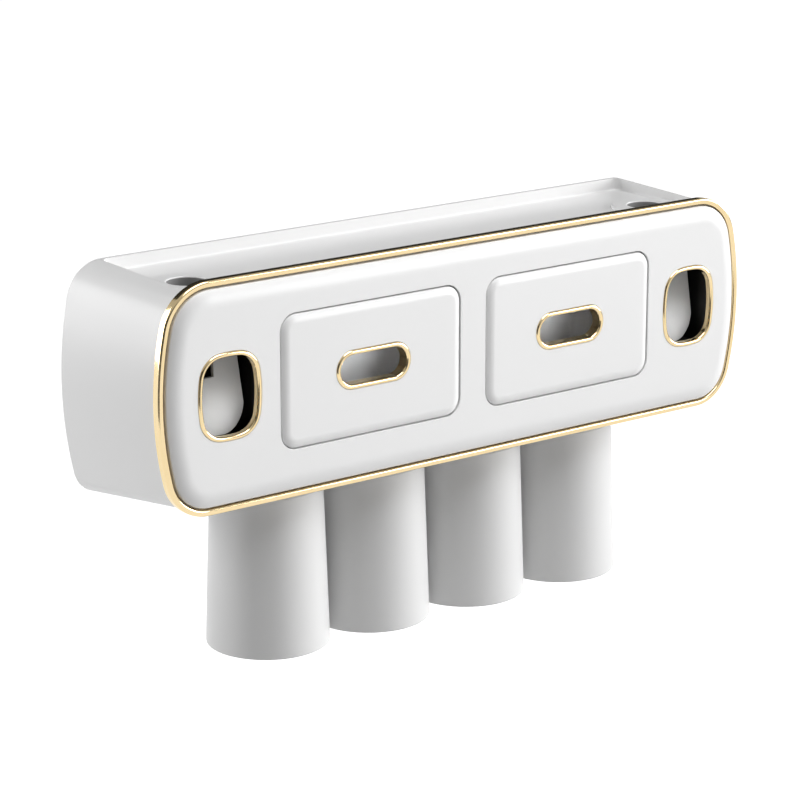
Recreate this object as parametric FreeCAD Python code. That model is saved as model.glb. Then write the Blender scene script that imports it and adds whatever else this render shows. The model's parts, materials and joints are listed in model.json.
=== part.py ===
import FreeCAD, Part
import math
import os

# Wall-mounted toothpaste dispenser with two drawers, a tray and four hanging cups.
# Millimetres; x to the right, y towards the wall, z up.
# The origin is the middle of the wall plate's back face, so the wall is the plane y = 0.

V = FreeCAD.Vector
UP = V(0, 0, 1)
BACK = V(0, 1, 0)
RIGHT = V(1, 0, 0)

# Front outline: the gold bezel's outside
bezel_width = 397.4
bezel_height = 122.3
end_bow_radius = 178.0
top_corner = 28.0
bottom_corner = 25.0
depth = 89.4

# Bezel and front panel
bezel_rim = 3.2
bezel_depth = 4.65
bezel_round = 1.0
bezel_flange = 2.6
bezel_flange_thickness = 1.0
panel_proud = 2.7
panel_gap = 0.8
panel_wall = 3.0
panel_skirt = 3.0
panel_crown_radius = 16.0
panel_crown_drop = 2.9

# Housing shell
housing_wall = 2.8
housing_front_wall = 2.5
housing_inset = 2.4
housing_bow_radius = 220.0
end_flare = 6.3
bottom_flare = 7.65
back_top_corner = 22.0
back_bottom_corner = 16.0
wall_gap = 0.6

# Tray on top
tray_rim_drop = 2.25
tray_depth = 7.2
tray_floor = 2.5
tray_end_wall = 20.1
tray_rim = 2.6
tray_corner = 5.0
tray_floor_round = 1.2

# Drawers
drawer_middle_gap = 18.8
drawer_to_window = 31.7
drawer_height_centre = 1.8
drawer_height = 70.9
drawer_corner = 9.0
drawer_gap = 0.8
drawer_proud = 1.2
drawer_crown_radius = 8.0
drawer_crown_drop = 1.8
drawer_back_room = 8.15
box_inset = 2.6
box_wall = 1.8
box_corner = 10.0
slide_gap = 0.4
sleeve_wall = 1.5
sleeve_flange = 2.4

# Gold rings in the windows and the drawers' slots
slot_width = 48.5
slot_height = 21.2
slot_raise = 0.6
slot_trim_band = 2.7
window_from_end = 41.4
window_height_centre = 0.7
window_width = 38.8
window_height = 46.6
window_corner = 13.8
window_side_bow = 75.0
window_top_bow = 60.0
window_trim_band = 2.6
trim_proud = 0.6
trim_round = 1.1
trim_fit = 0.05

# Lever chamber behind each window
chamber_half_width = 26.0
chamber_above = 26.3
chamber_below = 28.0
chamber_back_depth = 45.4
chamber_wall = 1.5
part_gap = 0.3

# Push lever
paddle_middle_depth = 25.2
paddle_hollow_radius = 60.0
paddle_thickness = 2.5
paddle_top_half = 18.2
paddle_half_width = 20.7
paddle_top = 16.3
paddle_bottom = -24.7
paddle_corner = 14.0
paddle_lip = 7.0
paddle_lip_height = 2.5
notch_half_width = 4.4
notch_bottom = 5.3
hinge_depth = 31.4
hinge_raise = 20.8
hub_radius = 4.5
hub_half_length = 14.0
arm_inner = 8.0
arm_width = 3.0
pin_radius = 2.0
running_fit = 0.05
finger_half_width = 3.0
finger_end = 12.0

# Pump above each chamber
tube_hole_depth = 37.7
tube_hole_radius = 10.7
collar_height = 1.8
collar_edge_round = 0.8
sleeve_radius = 12.9
sleeve_length = 11.7
socket_fit = 0.2
pump_half_width = 16.0
pump_front_depth = 11.9
pump_back_depth = 53.4
seal_height = 2.8
seal_inner_radius = 8.5
channel_radius = 3.0
bladder_depth = 40.4
bladder_radius = 6.4
bladder_flange = 2.6
bladder_flange_height = 2.0
bladder_wall = 1.2
bladder_drop = 2.6
valve_depth = 17.6
valve_radius = 4.3
valve_tip_radius = 2.2
valve_flange = 1.7
valve_flange_height = 1.5
valve_length = 9.0
spring_radius = 5.0
spring_wire = 1.0
spring_below_hinge = 23.5
spring_seat_length = 6.0

# Cups and their magnets
cup_count = 4
cup_gap = 1.0
cup_axis_from_wall = 41.1
cup_rim_radius = 33.7
cup_base_radius = 30.5
cup_rim_below = 155.5
cup_base_below = 66.8
cup_wall = 2.2
cup_rim_round = 1.0
cup_recess_radius = 25.0
cup_recess_depth = 2.5
seat_radius = 24.5
seat_skin = 1.5
seat_rise = 15.0
magnet_radius = 15.0
magnet_height = 4.0
magnet_cap_radius = 18.0
magnet_cap_height = 2.0
magnet_fit = 0.2
cup_base_skin = 1.6
cup_magnet_height = 2.4
seat_gap = 0.3

# Back cover, screws and wall plate
cover_thickness = 2.5
cover_fit = 0.4
screw_shank_radius = 1.2
screw_head_radius = 2.8
screw_head_height = 1.8
screw_pilot_fit = 0.05
screw_hole_radius = 1.5
boss_radius = 4.2
cover_boss_length = 20.0
cover_screw_length = 14.0
panel_screw_length = 6.0
screw_below_tray = 6.2
screw_above_bottom = 11.75
boss_clear = 0.5
seat_to_boss = 5.7
plate_end_inset = 28.7
plate_half_height = 22.0
plate_thickness = 3.5
plate_corner = 6.0
plate_hole_spacing = 180.0
plate_hole_radius = 2.6
head_clearance = 1.2
hook_from_end = 48.7
hook_width = 20.0
hook_thickness = 6.0
hook_lip = 8.0
hook_lip_thickness = 2.6
hook_bottom = 6.0
hook_gap = 0.4
hook_rest_gap = 0.15
hook_slot_play = 2.15

# How far a cutting form passes through a face
overshoot = 1.0

# Places along x, worked in from the bezel's ends
half_width = bezel_width / 2
window_offset = half_width - window_from_end
tray_half_width = half_width - tray_end_wall
plate_half_length = half_width - plate_end_inset
hook_offset = half_width - hook_from_end
drawer_width = window_offset - drawer_to_window - drawer_middle_gap / 2
drawer_offset = (drawer_middle_gap + drawer_width) / 2
cup_pitch = 2 * cup_rim_radius + cup_gap
cup_positions = [cup_pitch * (i - (cup_count - 1) / 2) for i in range(cup_count)]

# Levels along y, from the front to the wall
panel_front = -depth
bezel_front = panel_front + panel_proud
housing_front = bezel_front + bezel_depth
housing_back = -wall_gap
panel_back = panel_front + panel_wall
cover_back = -(plate_thickness + screw_head_height + head_clearance)
cover_front = cover_back - cover_thickness
sleeve_back = cover_front - hook_rest_gap
box_back = sleeve_back - sleeve_wall - drawer_back_room
drawer_face = panel_front - drawer_proud
paddle_middle_y = panel_front + paddle_middle_depth

# Levels along z
bezel_half_height = bezel_height / 2
tray_rim_top = bezel_half_height - tray_rim_drop
tray_floor_top = tray_rim_top - tray_depth
tray_floor_under = tray_floor_top - tray_floor
housing_bottom = -bezel_half_height + housing_inset
chamber_top_out = window_height_centre + chamber_above + chamber_wall
hinge_z = window_height_centre + hinge_raise
hinge_y = panel_front + hinge_depth
chamber_back_in = panel_front + chamber_back_depth
tube_hole_y = panel_front + tube_hole_depth
collar_radius = tray_half_width - window_offset - tray_floor_round - part_gap
slot_z = drawer_height_centre + slot_raise

# Cup seats: the seat's face, then the cup's base below it
seat_face = -(cup_base_below + cup_recess_depth - seat_gap)
cup_axis_y = -cup_axis_from_wall

# Screw places on the back cover and on the front panel: (x, z)
upper_screw_z = tray_floor_under - screw_below_tray
lower_screw_z = housing_bottom + screw_above_bottom
flange_end = drawer_offset + drawer_width / 2 + drawer_gap + sleeve_flange
side_screw_x = flange_end + boss_clear + boss_radius
seat_screw_x = cup_positions[-1] + seat_radius + seat_to_boss + boss_radius
cover_screw_places = []
panel_screw_places = []
for side in (-1, 0, 1):
    cover_screw_places += [(side * side_screw_x, upper_screw_z), (side * seat_screw_x, lower_screw_z)]
    panel_screw_places += [(side * side_screw_x, upper_screw_z), (side * side_screw_x, lower_screw_z)]


def box(x0, x1, y0, y1, z0, z1):
    """A block between two corners."""
    return Part.makeBox(x1 - x0, y1 - y0, z1 - z0, V(x0, y0, z0))


def rod(radius, start, direction, length):
    """A round bar from a start point along a direction."""
    return Part.makeCylinder(radius, length, start, direction)


def turned(profile, x, y):
    """A solid turned about the vertical line through (x, y) from its (radius, z) outline."""
    points = [V(x + r, y, z) for r, z in profile]
    face = Part.Face(Part.makePolygon(points + points[:1]))
    return face.revolve(V(x, y, 0), UP, 360)


def rounded_wire(cx, cz, width, height, corner, y):
    """A rectangle with round corners, standing in the plane y."""
    x, z = width / 2, height / 2
    corner = min(corner, x, z)
    edges = []
    sides = [((-x + corner, z), (x - corner, z)), ((x, z - corner), (x, -z + corner)),
             ((x - corner, -z), (-x + corner, -z)), ((-x, -z + corner), (-x, z - corner))]
    slant = corner * math.sqrt(0.5)
    signs = [(1, 1), (1, -1), (-1, -1), (-1, 1)]
    for i, (start, end) in enumerate(sides):
        a = V(cx + start[0], y, cz + start[1])
        b = V(cx + end[0], y, cz + end[1])
        if a.distanceToPoint(b) > 1e-6:
            edges.append(Part.makeLine(a, b))
        sx, sz = signs[i]
        middle = V(cx + sx * (x - corner + slant), y, cz + sz * (z - corner + slant))
        following = sides[(i + 1) % 4][0]
        c = V(cx + following[0], y, cz + following[1])
        edges.append(Part.Arc(b, middle, c).toShape())
    return Part.Wire(edges)


def rounded_block(cx, cz, width, height, corner, y0, y1):
    """A block with round corners, from y0 to y1."""
    face = Part.Face(rounded_wire(cx, cz, width, height, corner, y0))
    return face.extrude(V(0, y1 - y0, 0))


def arc_middle(centre, radius, a, b):
    """The point of a small arc halfway between its two ends."""
    mx = (a[0] + b[0]) / 2 - centre[0]
    mz = (a[1] + b[1]) / 2 - centre[1]
    scale = radius / math.hypot(mx, mz)
    return centre[0] + mx * scale, centre[1] + mz * scale


def barrel_wire(cx, cz, width, height, corner, side_bow, top_bow, y):
    """An upright opening whose sides, top and bottom all bow outwards, with tangent corners."""
    side_x = width / 2 - side_bow
    top_z = height / 2 - top_bow
    apart = math.hypot(side_x, top_z)
    ux, uz = -side_x / apart, top_z / apart
    along = ((side_bow - corner) ** 2 - (top_bow - corner) ** 2 + apart ** 2) / (2 * apart)
    across = math.sqrt((side_bow - corner) ** 2 - along ** 2)
    centre = (side_x + ux * along - uz * across, uz * along + ux * across)
    side_reach = side_bow / (side_bow - corner)
    top_reach = top_bow / (top_bow - corner)
    on_side = (side_x + (centre[0] - side_x) * side_reach, centre[1] * side_reach)
    on_top = (centre[0] * top_reach, top_z + (centre[1] - top_z) * top_reach)
    bend = arc_middle(centre, corner, on_side, on_top)

    def arc(*points):
        return Part.Arc(*[V(cx + px, y, cz + pz) for px, pz in points]).toShape()

    edges = []
    for sx, sz in ((1, 1), (1, -1), (-1, -1), (-1, 1)):
        lift = [(sx * px, sz * pz) for px, pz in (on_top, bend, on_side)]
        if sx * sz > 0:
            edges.append(arc((-lift[0][0], lift[0][1]), (0, sz * height / 2), lift[0]))
            edges.append(arc(*lift))
        else:
            edges.append(arc((lift[2][0], -lift[2][1]), (sx * width / 2, 0), lift[2]))
            edges.append(arc(*lift[::-1]))
    return Part.Wire(edges)


def bowed_wire(half_width, top, bottom, corner_top, corner_bottom, bow, y):
    """The unit's outline: straight top and bottom, bowed ends, round corners, all tangent."""
    middle_z = (top + bottom) / 2
    bow_x = half_width - bow

    def corner(level, radius, side):
        """Corner centre, and its tangent points on the straight edge and on the bowed end."""
        cz = level - side * radius
        rise = cz - middle_z
        cx = bow_x + math.sqrt((bow - radius) ** 2 - rise ** 2)
        reach = bow / (bow - radius)
        on_end = (bow_x + (cx - bow_x) * reach, middle_z + rise * reach)
        return (cx, cz), (cx, level), on_end

    centre_t, flat_t, end_t = corner(top, corner_top, 1)
    centre_b, flat_b, end_b = corner(bottom, corner_bottom, -1)
    right = [(flat_t, arc_middle(centre_t, corner_top, flat_t, end_t), end_t),
             (end_t, (half_width, middle_z), end_b),
             (end_b, arc_middle(centre_b, corner_bottom, end_b, flat_b), flat_b)]

    def arc(points, sign):
        return Part.Arc(*[V(sign * px, y, pz) for px, pz in points]).toShape()

    edges = [Part.makeLine(V(-flat_t[0], y, top), V(flat_t[0], y, top))]
    edges += [arc(points, 1) for points in right]
    edges.append(Part.makeLine(V(flat_b[0], y, bottom), V(-flat_b[0], y, bottom)))
    edges += [arc(points[::-1], -1) for points in right[::-1]]
    return Part.Wire(edges)


def front_outline(inset, y):
    """The bezel's outside, moved inwards by an even inset."""
    return bowed_wire(half_width - inset, bezel_half_height - inset, -bezel_half_height + inset,
                      top_corner - inset, bottom_corner - inset, end_bow_radius - inset, y)


def housing_outline(inset, top, y):
    """The housing's section at y: it grows towards the wall at the ends and below."""
    share = (y - housing_front) / (housing_back - housing_front)
    drop = tray_rim_top - top
    front_top = top_corner - housing_inset
    front_bottom = bottom_corner - housing_inset
    corner_top = front_top + share * (back_top_corner - front_top) - drop
    corner_bottom = front_bottom + share * (back_bottom_corner - front_bottom)
    reach = half_width - housing_inset + share * end_flare
    bottom = housing_bottom - share * bottom_flare
    return bowed_wire(reach - inset, top, bottom + inset, corner_top, corner_bottom - inset,
                      housing_bow_radius - inset, y)


def housing_form(inset, top, y0, y1):
    """The solid between two of the housing's sections."""
    return Part.makeLoft([housing_outline(inset, top, y0), housing_outline(inset, top, y1)], True, True)


def round_front_edges(solid, y, radius):
    """Round every edge that lies in the plane y."""
    edges = []
    for edge in solid.Edges:
        limits = edge.BoundBox
        if abs(limits.YMin - y) < 1e-4 and abs(limits.YMax - y) < 1e-4:
            edges.append(edge)
    return solid.makeFillet(radius, edges)


def crowned_plate(outline, y0, y1, radius, drop):
    """A plate whose front falls away to its edges on an arc; outline(inset, y) gives its wire."""
    spill = radius - math.sqrt(2 * radius * drop - drop ** 2)
    crown = Part.Face(outline(-spill, y0)).extrude(BACK * 2 * radius)
    crown = round_front_edges(crown, y0, radius)
    return Part.Face(outline(0, y0)).extrude(BACK * (y1 - y0)).common(crown)


def make_bezel():
    """The gold ring, with a flange at its back that the front panel clamps to the housing."""
    outside = Part.Face(front_outline(0, bezel_front)).extrude(BACK * bezel_depth)
    inside = Part.Face(front_outline(bezel_rim, bezel_front)).extrude(BACK * bezel_depth)
    ring = round_front_edges(outside.cut(inside), bezel_front, bezel_round)
    flange_depth = BACK * bezel_flange_thickness
    flange_front = housing_front - bezel_flange_thickness
    flange = Part.Face(front_outline(bezel_rim / 2, flange_front)).extrude(flange_depth)
    hole = Part.Face(front_outline(bezel_rim + bezel_flange, flange_front)).extrude(flange_depth)
    return ring.fuse(flange.cut(hole)).removeSplitter()


def make_front_panel():
    inset = bezel_rim + panel_gap
    body = crowned_plate(lambda extra, y: front_outline(inset + extra, y), panel_front,
                         housing_front - bezel_flange_thickness, panel_crown_radius, panel_crown_drop)
    hollow = Part.Face(front_outline(inset + panel_skirt, panel_back)).extrude(BACK * depth)
    body = body.cut(hollow)
    for x, z in panel_screw_places:
        boss = rod(boss_radius, V(x, panel_back, z), BACK, housing_front - panel_back)
        pilot = rod(screw_shank_radius + screw_pilot_fit, V(x, panel_back, z), BACK, depth)
        body = body.fuse(boss).cut(pilot)
    for side in (-1, 1):
        opening = Part.Face(drawer_outline(side, -drawer_gap, 2 * panel_front))
        body = body.cut(opening.extrude(BACK * 2 * depth))
        window = Part.Face(window_outline(side, -trim_fit, 2 * panel_front))
        body = body.cut(window.extrude(BACK * 2 * depth))
    return body.removeSplitter()


def make_screws(places, y, direction, length):
    """A group of equal pan-head screws whose heads bear on the plane y."""
    screws = []
    for x, z in places:
        head = rod(screw_head_radius, V(x, y, z), direction * -1, screw_head_height)
        shank = rod(screw_shank_radius, V(x, y, z), direction, length)
        screws.append(head.fuse(shank).removeSplitter())
    return Part.makeCompound(screws)


def tray_pocket():
    """The space of the tray, with round corners and a concave foot to its walls."""
    y0 = housing_front + tray_rim
    y1 = housing_back - tray_rim
    space = box(-tray_half_width, tray_half_width, y0, y1, tray_floor_top, bezel_half_height + tray_depth)
    upright = [e for e in space.Edges if e.BoundBox.ZLength > tray_depth]
    space = space.makeFillet(tray_corner, upright)
    foot = [e for e in space.Edges if e.BoundBox.ZMax < tray_floor_top + 1e-4]
    return space.makeFillet(tray_floor_round, foot)


def cup_seat(x):
    """A round seat with a pocket for its magnet, moulded into the housing's underside."""
    solid = rod(seat_radius, V(x, cup_axis_y, seat_face), UP, seat_rise)
    pocket_floor = seat_face + seat_skin
    magnet_space = rod(magnet_radius + magnet_fit, V(x, cup_axis_y, pocket_floor), UP, seat_rise)
    cap_floor = pocket_floor + magnet_height
    cap_space = rod(magnet_cap_radius + magnet_fit, V(x, cup_axis_y, cap_floor), UP, seat_rise)
    return solid, magnet_space.fuse(cap_space)


def cover_boss(x, z):
    """A screw boss for the back cover, ribbed to the nearer of the tray floor and the bottom wall."""
    start = cover_front - cover_boss_length
    boss = rod(boss_radius, V(x, start, z), BACK, cover_boss_length)
    far = tray_floor_top if z > 0 else housing_bottom - bottom_flare
    rib = box(x - screw_hole_radius, x + screw_hole_radius, start, cover_front,
              min(z, far), max(z, far))
    pilot = rod(screw_shank_radius + screw_pilot_fit, V(x, start, z), BACK, depth)
    return boss.fuse(rib), pilot


def make_housing():
    outside = housing_form(0, tray_rim_top, housing_front, housing_back)
    inside = housing_form(housing_wall, tray_floor_under, housing_front + housing_front_wall, overshoot)
    added = []
    removed = [inside, tray_pocket()]
    for x in cup_positions:
        seat, pocket = cup_seat(x)
        added.append(seat)
        removed.append(pocket)
    shell = outside.cut(Part.makeCompound(removed[:2]))
    for x, z in cover_screw_places:
        boss, pilot = cover_boss(x, z)
        added.append(boss.common(outside))
        removed.append(pilot)
    shell = shell.fuse(added)
    holes = removed[2:]
    front = housing_front - overshoot
    behind = housing_front + housing_front_wall + overshoot
    for side in (-1, 1):
        holes.append(sleeve_block(side, part_gap, front, behind))
        holes.append(chamber_block(side, part_gap, front, behind))
        tube = V(side * window_offset, tube_hole_y, tray_floor_under - overshoot)
        holes.append(rod(sleeve_radius + socket_fit, tube, UP, tray_floor + 2 * overshoot))
    for x, z in panel_screw_places:
        holes.append(rod(screw_hole_radius, V(x, front, z), BACK, behind - front))
    return shell.cut(holes).removeSplitter()


def make_rear_cover():
    outline = housing_outline(housing_wall + cover_fit, tray_floor_under - cover_fit, cover_front)
    plate = Part.Face(outline).extrude(BACK * cover_thickness)
    for x, z in cover_screw_places:
        plate = plate.cut(rod(screw_hole_radius, V(x, cover_front, z), BACK, cover_thickness))
    top = hook_bottom + hook_thickness + hook_rest_gap
    bottom = hook_bottom - hook_lip - hook_slot_play
    for side in (-1, 1):
        x = side * hook_offset
        half = hook_width / 2 + hook_gap
        plate = plate.cut(box(x - half, x + half, 2 * cover_front, 0, bottom, top))
    return plate


def make_wall_plate():
    plate = rounded_block(0, 0, 2 * plate_half_length, 2 * plate_half_height, plate_corner, -plate_thickness, 0)
    for side in (-1, 1):
        hole = V(side * plate_hole_spacing / 2, -plate_thickness, 0)
        plate = plate.cut(rod(plate_hole_radius, hole, BACK, plate_thickness))
        x0 = side * hook_offset - hook_width / 2
        x1 = x0 + hook_width
        tip = cover_front - hook_gap - hook_lip_thickness
        top = hook_bottom + hook_thickness
        plate = plate.fuse(box(x0, x1, tip, -plate_thickness, hook_bottom, top))
        plate = plate.fuse(box(x0, x1, tip, tip + hook_lip_thickness, hook_bottom, top + hook_lip))
    return plate.removeSplitter()


def window_outline(side, inset, y):
    """A window's outline, moved inwards by an even inset."""
    return barrel_wire(side * window_offset, window_height_centre, window_width - 2 * inset,
                       window_height - 2 * inset, window_corner - inset, window_side_bow - inset,
                       window_top_bow - inset, y)


def slot_outline(side, inset, y):
    """A drawer slot's outline, with half-round ends, moved inwards by an even inset."""
    height = slot_height - 2 * inset
    return rounded_wire(side * drawer_offset, slot_z, slot_width - 2 * inset, height, height / 2, y)


def trim_ring(outline, band, y0, y1):
    """A gold ring with round front edges; outline(inset, y) gives its wire."""
    outside = Part.Face(outline(0, y0)).extrude(BACK * (y1 - y0))
    inside = Part.Face(outline(band, y0)).extrude(BACK * (y1 - y0))
    return round_front_edges(outside.cut(inside), y0, trim_round)


def make_window_trim(side):
    return trim_ring(lambda inset, y: window_outline(side, inset, y), window_trim_band,
                     panel_front - trim_proud, panel_back)


# Drawers

def sleeve_block(side, grow, y0, y1):
    """The outside of a drawer's sleeve, grown by a clearance."""
    extra = 2 * (slide_gap + sleeve_wall + grow - box_inset)
    return rounded_block(side * drawer_offset, drawer_height_centre, drawer_width + extra,
                         drawer_height + extra, drawer_corner, y0, y1)


def make_drawer_sleeve(side):
    cx, cz = side * drawer_offset, drawer_height_centre
    extra = 2 * (slide_gap - box_inset)
    outside = sleeve_block(side, 0, panel_back, sleeve_back)
    flange = rounded_block(cx, cz, drawer_width + 2 * (drawer_gap + sleeve_flange),
                           drawer_height + 2 * (drawer_gap + sleeve_flange), drawer_corner + sleeve_flange,
                           panel_back, panel_back + sleeve_wall)
    space = rounded_block(cx, cz, drawer_width + extra, drawer_height + extra, drawer_corner - sleeve_wall,
                          panel_back, sleeve_back - sleeve_wall)
    return outside.fuse(flange).cut(space).removeSplitter()


def slot_block(side, y0, y1):
    """The hole that a slot's gold ring fits."""
    return Part.Face(slot_outline(side, -trim_fit, y0)).extrude(BACK * (y1 - y0))


def drawer_outline(side, inset, y):
    """A drawer front's outline, moved inwards by an even inset."""
    return rounded_wire(side * drawer_offset, drawer_height_centre, drawer_width - 2 * inset,
                        drawer_height - 2 * inset, drawer_corner - inset, y)


def make_drawer_front(side):
    plate = crowned_plate(lambda inset, y: drawer_outline(side, inset, y), drawer_face, panel_back,
                          drawer_crown_radius, drawer_crown_drop)
    return plate.cut(slot_block(side, drawer_face - overshoot, panel_back))


def make_drawer_box(side):
    cx, cz = side * drawer_offset, drawer_height_centre
    half_width = drawer_width / 2 - box_inset
    half_height = drawer_height / 2 - box_inset
    outside = rounded_block(cx, cz, 2 * half_width, 2 * half_height, drawer_corner - sleeve_wall,
                            panel_back, box_back)
    inner = half_width - box_wall
    space = box(cx - inner, cx + inner, panel_back + box_wall, box_back - box_wall,
                cz - half_height + box_wall, cz + half_height + box_wall)
    upright = [e for e in space.Edges if e.BoundBox.ZLength > half_height]
    space = space.makeFillet(box_corner, upright)
    return outside.cut(space).cut(slot_block(side, panel_back - overshoot, panel_back + box_wall + overshoot))


def make_slot_trim(side):
    return trim_ring(lambda inset, y: slot_outline(side, inset, y), slot_trim_band,
                     drawer_face - trim_proud, panel_back + box_wall)


# Toothpaste dispensers

def chamber_block(side, grow, y0, y1):
    """The outside of a lever chamber, grown by a clearance."""
    half = chamber_half_width + chamber_wall + grow
    x = side * window_offset
    bottom = window_height_centre - chamber_below - chamber_wall - grow
    return box(x - half, x + half, y0, y1, bottom, chamber_top_out + grow)


def spring_centre(side):
    return V(side * window_offset, chamber_back_in, hinge_z - spring_below_hinge)


def make_lever_chamber(side):
    x = side * window_offset
    outside = chamber_block(side, 0, panel_back, chamber_back_in + chamber_wall)
    space = box(x - chamber_half_width, x + chamber_half_width, panel_back, chamber_back_in,
                window_height_centre - chamber_below, window_height_centre + chamber_above)
    body = outside.cut(space)
    seat_radius_in_spring = spring_radius - spring_wire - part_gap
    body = body.fuse(rod(seat_radius_in_spring, spring_centre(side), BACK * -1, spring_seat_length))
    span = 2 * (chamber_half_width + chamber_wall)
    body = body.cut(rod(pin_radius, V(x - span / 2, hinge_y, hinge_z), RIGHT, span))
    under = chamber_top_out - 2 * chamber_wall
    for radius, back in ((bladder_radius, bladder_depth), (valve_radius, valve_depth)):
        hole = V(x, panel_front + back, under)
        body = body.cut(rod(radius + part_gap, hole, UP, 4 * chamber_wall))
    return body.removeSplitter()


def make_lever_pin(side):
    span = 2 * (chamber_half_width + chamber_wall)
    return rod(pin_radius, V(side * window_offset - span / 2, hinge_y, hinge_z), RIGHT, span)


def paddle_outline(x, y):
    """The paddle seen from the front: wider towards the bottom, with round lower corners."""
    z = window_height_centre
    top = z + paddle_top
    bottom = z + paddle_bottom
    waist = bottom + paddle_corner
    inner = paddle_half_width - paddle_corner
    slant = paddle_corner * math.sqrt(0.5)

    def side_arc(sign):
        points = [V(x + sign * paddle_half_width, y, waist),
                  V(x + sign * (inner + slant), y, waist - slant),
                  V(x + sign * inner, y, bottom)]
        return Part.Arc(*points[::sign]).toShape()

    return Part.Wire([
        Part.makeLine(V(x - paddle_top_half, y, top), V(x + paddle_top_half, y, top)),
        Part.makeLine(V(x + paddle_top_half, y, top), V(x + paddle_half_width, y, waist)),
        side_arc(1),
        Part.makeLine(V(x + inner, y, bottom), V(x - inner, y, bottom)),
        side_arc(-1),
        Part.makeLine(V(x - paddle_half_width, y, waist), V(x - paddle_top_half, y, top))])


def make_push_lever(side):
    x = side * window_offset
    form = Part.Face(paddle_outline(x, panel_front)).extrude(BACK * chamber_back_depth)
    axis = V(x, paddle_middle_y - paddle_hollow_radius, -depth)
    lip_top = window_height_centre + paddle_bottom + paddle_lip_height
    back_face = rod(paddle_hollow_radius + paddle_thickness, axis, UP, 2 * depth)
    lip_face = rod(paddle_hollow_radius - paddle_lip, axis, UP, 2 * depth)
    front_face = rod(paddle_hollow_radius, V(axis.x, axis.y, lip_top), UP, depth)
    notch = box(x - notch_half_width, x + notch_half_width, -depth, hinge_y,
                window_height_centre + notch_bottom, window_height_centre + paddle_top + overshoot)
    lever = form.common(back_face).cut(front_face).cut(lip_face).cut(notch)
    lever = lever.fuse(rod(hub_radius, V(x - hub_half_length, hinge_y, hinge_z), RIGHT, 2 * hub_half_length))
    for sign in (-1, 1):
        lever = lever.fuse(lever_arm(x, sign))
    finger_top = chamber_top_out - chamber_wall - bladder_reach() - part_gap
    lever = lever.fuse(box(x - finger_half_width, x + finger_half_width, hinge_y, hinge_y + finger_end,
                           hinge_z, finger_top))
    bore = rod(pin_radius + running_fit, V(x - hub_half_length, hinge_y, hinge_z), RIGHT, 2 * hub_half_length)
    return lever.cut(bore).removeSplitter()


def lever_arm(x, sign):
    """A rib from the top of the paddle back to the hub."""
    inner = x + sign * arm_inner
    outer = x + sign * (arm_inner + arm_width)
    start = min(inner, outer)
    top = window_height_centre + paddle_top
    reach = math.sqrt(paddle_hollow_radius ** 2 - (arm_inner + arm_width) ** 2)
    front = paddle_middle_y - paddle_hollow_radius + reach + paddle_thickness / 2
    outline = [V(start, front, top - 2 * hub_radius), V(start, front, top),
               V(start, hinge_y, hinge_z + hub_radius), V(start, hinge_y, hinge_z - hub_radius)]
    return Part.Face(Part.makePolygon(outline + outline[:1])).extrude(RIGHT * arm_width)


def bladder_reach():
    """How far the bladder's bulb hangs below the chamber's ceiling."""
    return bladder_drop - chamber_wall


def make_return_spring(side):
    start = spring_centre(side)
    length = chamber_back_in - (paddle_middle_y + paddle_thickness) - part_gap
    coil = rod(spring_radius, start, BACK * -1, length)
    return coil.cut(rod(spring_radius - spring_wire, start, BACK * -1, length))


def make_pump_body(side):
    x = side * window_offset
    floor = chamber_top_out
    top = tray_floor_under
    block = box(x - pump_half_width, x + pump_half_width, panel_front + pump_front_depth,
                panel_front + pump_back_depth, floor, top)
    socket_floor = tray_floor_top - sleeve_length - seal_height
    socket = rod(sleeve_radius + socket_fit, V(x, tube_hole_y, socket_floor), UP, top)
    bladder_y = panel_front + bladder_depth
    chamber_hole = rod(bladder_radius - bladder_wall, V(x, bladder_y, floor), UP,
                       socket_floor - floor + overshoot)
    bladder_seat = rod(bladder_radius + bladder_flange + socket_fit, V(x, bladder_y, floor), UP,
                       bladder_flange_height)
    valve_y = panel_front + valve_depth
    channel_z = (floor + socket_floor) / 2
    channel = rod(channel_radius, V(x, valve_y, channel_z), BACK, tube_hole_y - valve_y)
    outlet = rod(channel_radius, V(x, valve_y, floor), UP, channel_z - floor)
    valve_seat = rod(valve_radius + valve_flange + socket_fit, V(x, valve_y, floor), UP, valve_flange_height)
    return block.cut([socket, chamber_hole, bladder_seat, channel, outlet, valve_seat]).removeSplitter()


def make_tube_collar(side):
    x = side * window_offset
    top = tray_floor_top + collar_height
    inner = tube_hole_radius
    bevel = collar_edge_round
    profile = [(inner, top), (collar_radius - bevel, top), (collar_radius, top - bevel),
               (collar_radius, tray_floor_top), (sleeve_radius, tray_floor_top),
               (sleeve_radius, tray_floor_top - sleeve_length), (inner, tray_floor_top - sleeve_length)]
    return turned(profile, x, tube_hole_y)


def make_tube_seal(side):
    bottom = tray_floor_top - sleeve_length - seal_height
    profile = [(seal_inner_radius, bottom), (sleeve_radius, bottom), (sleeve_radius, bottom + seal_height),
               (seal_inner_radius, bottom + seal_height)]
    return turned(profile, side * window_offset, tube_hole_y)


def make_pump_bladder(side):
    floor = chamber_top_out
    flange = bladder_radius + bladder_flange
    bulb_bottom = floor - bladder_drop
    inner = bladder_radius - bladder_wall
    bevel = bladder_wall
    profile = [(inner, floor + bladder_flange_height), (flange, floor + bladder_flange_height), (flange, floor),
               (bladder_radius, floor), (bladder_radius, bulb_bottom + bevel),
               (bladder_radius - bevel, bulb_bottom), (0, bulb_bottom), (0, bulb_bottom + bladder_wall),
               (inner, bulb_bottom + bladder_wall)]
    return turned(profile, side * window_offset, panel_front + bladder_depth)


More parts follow.
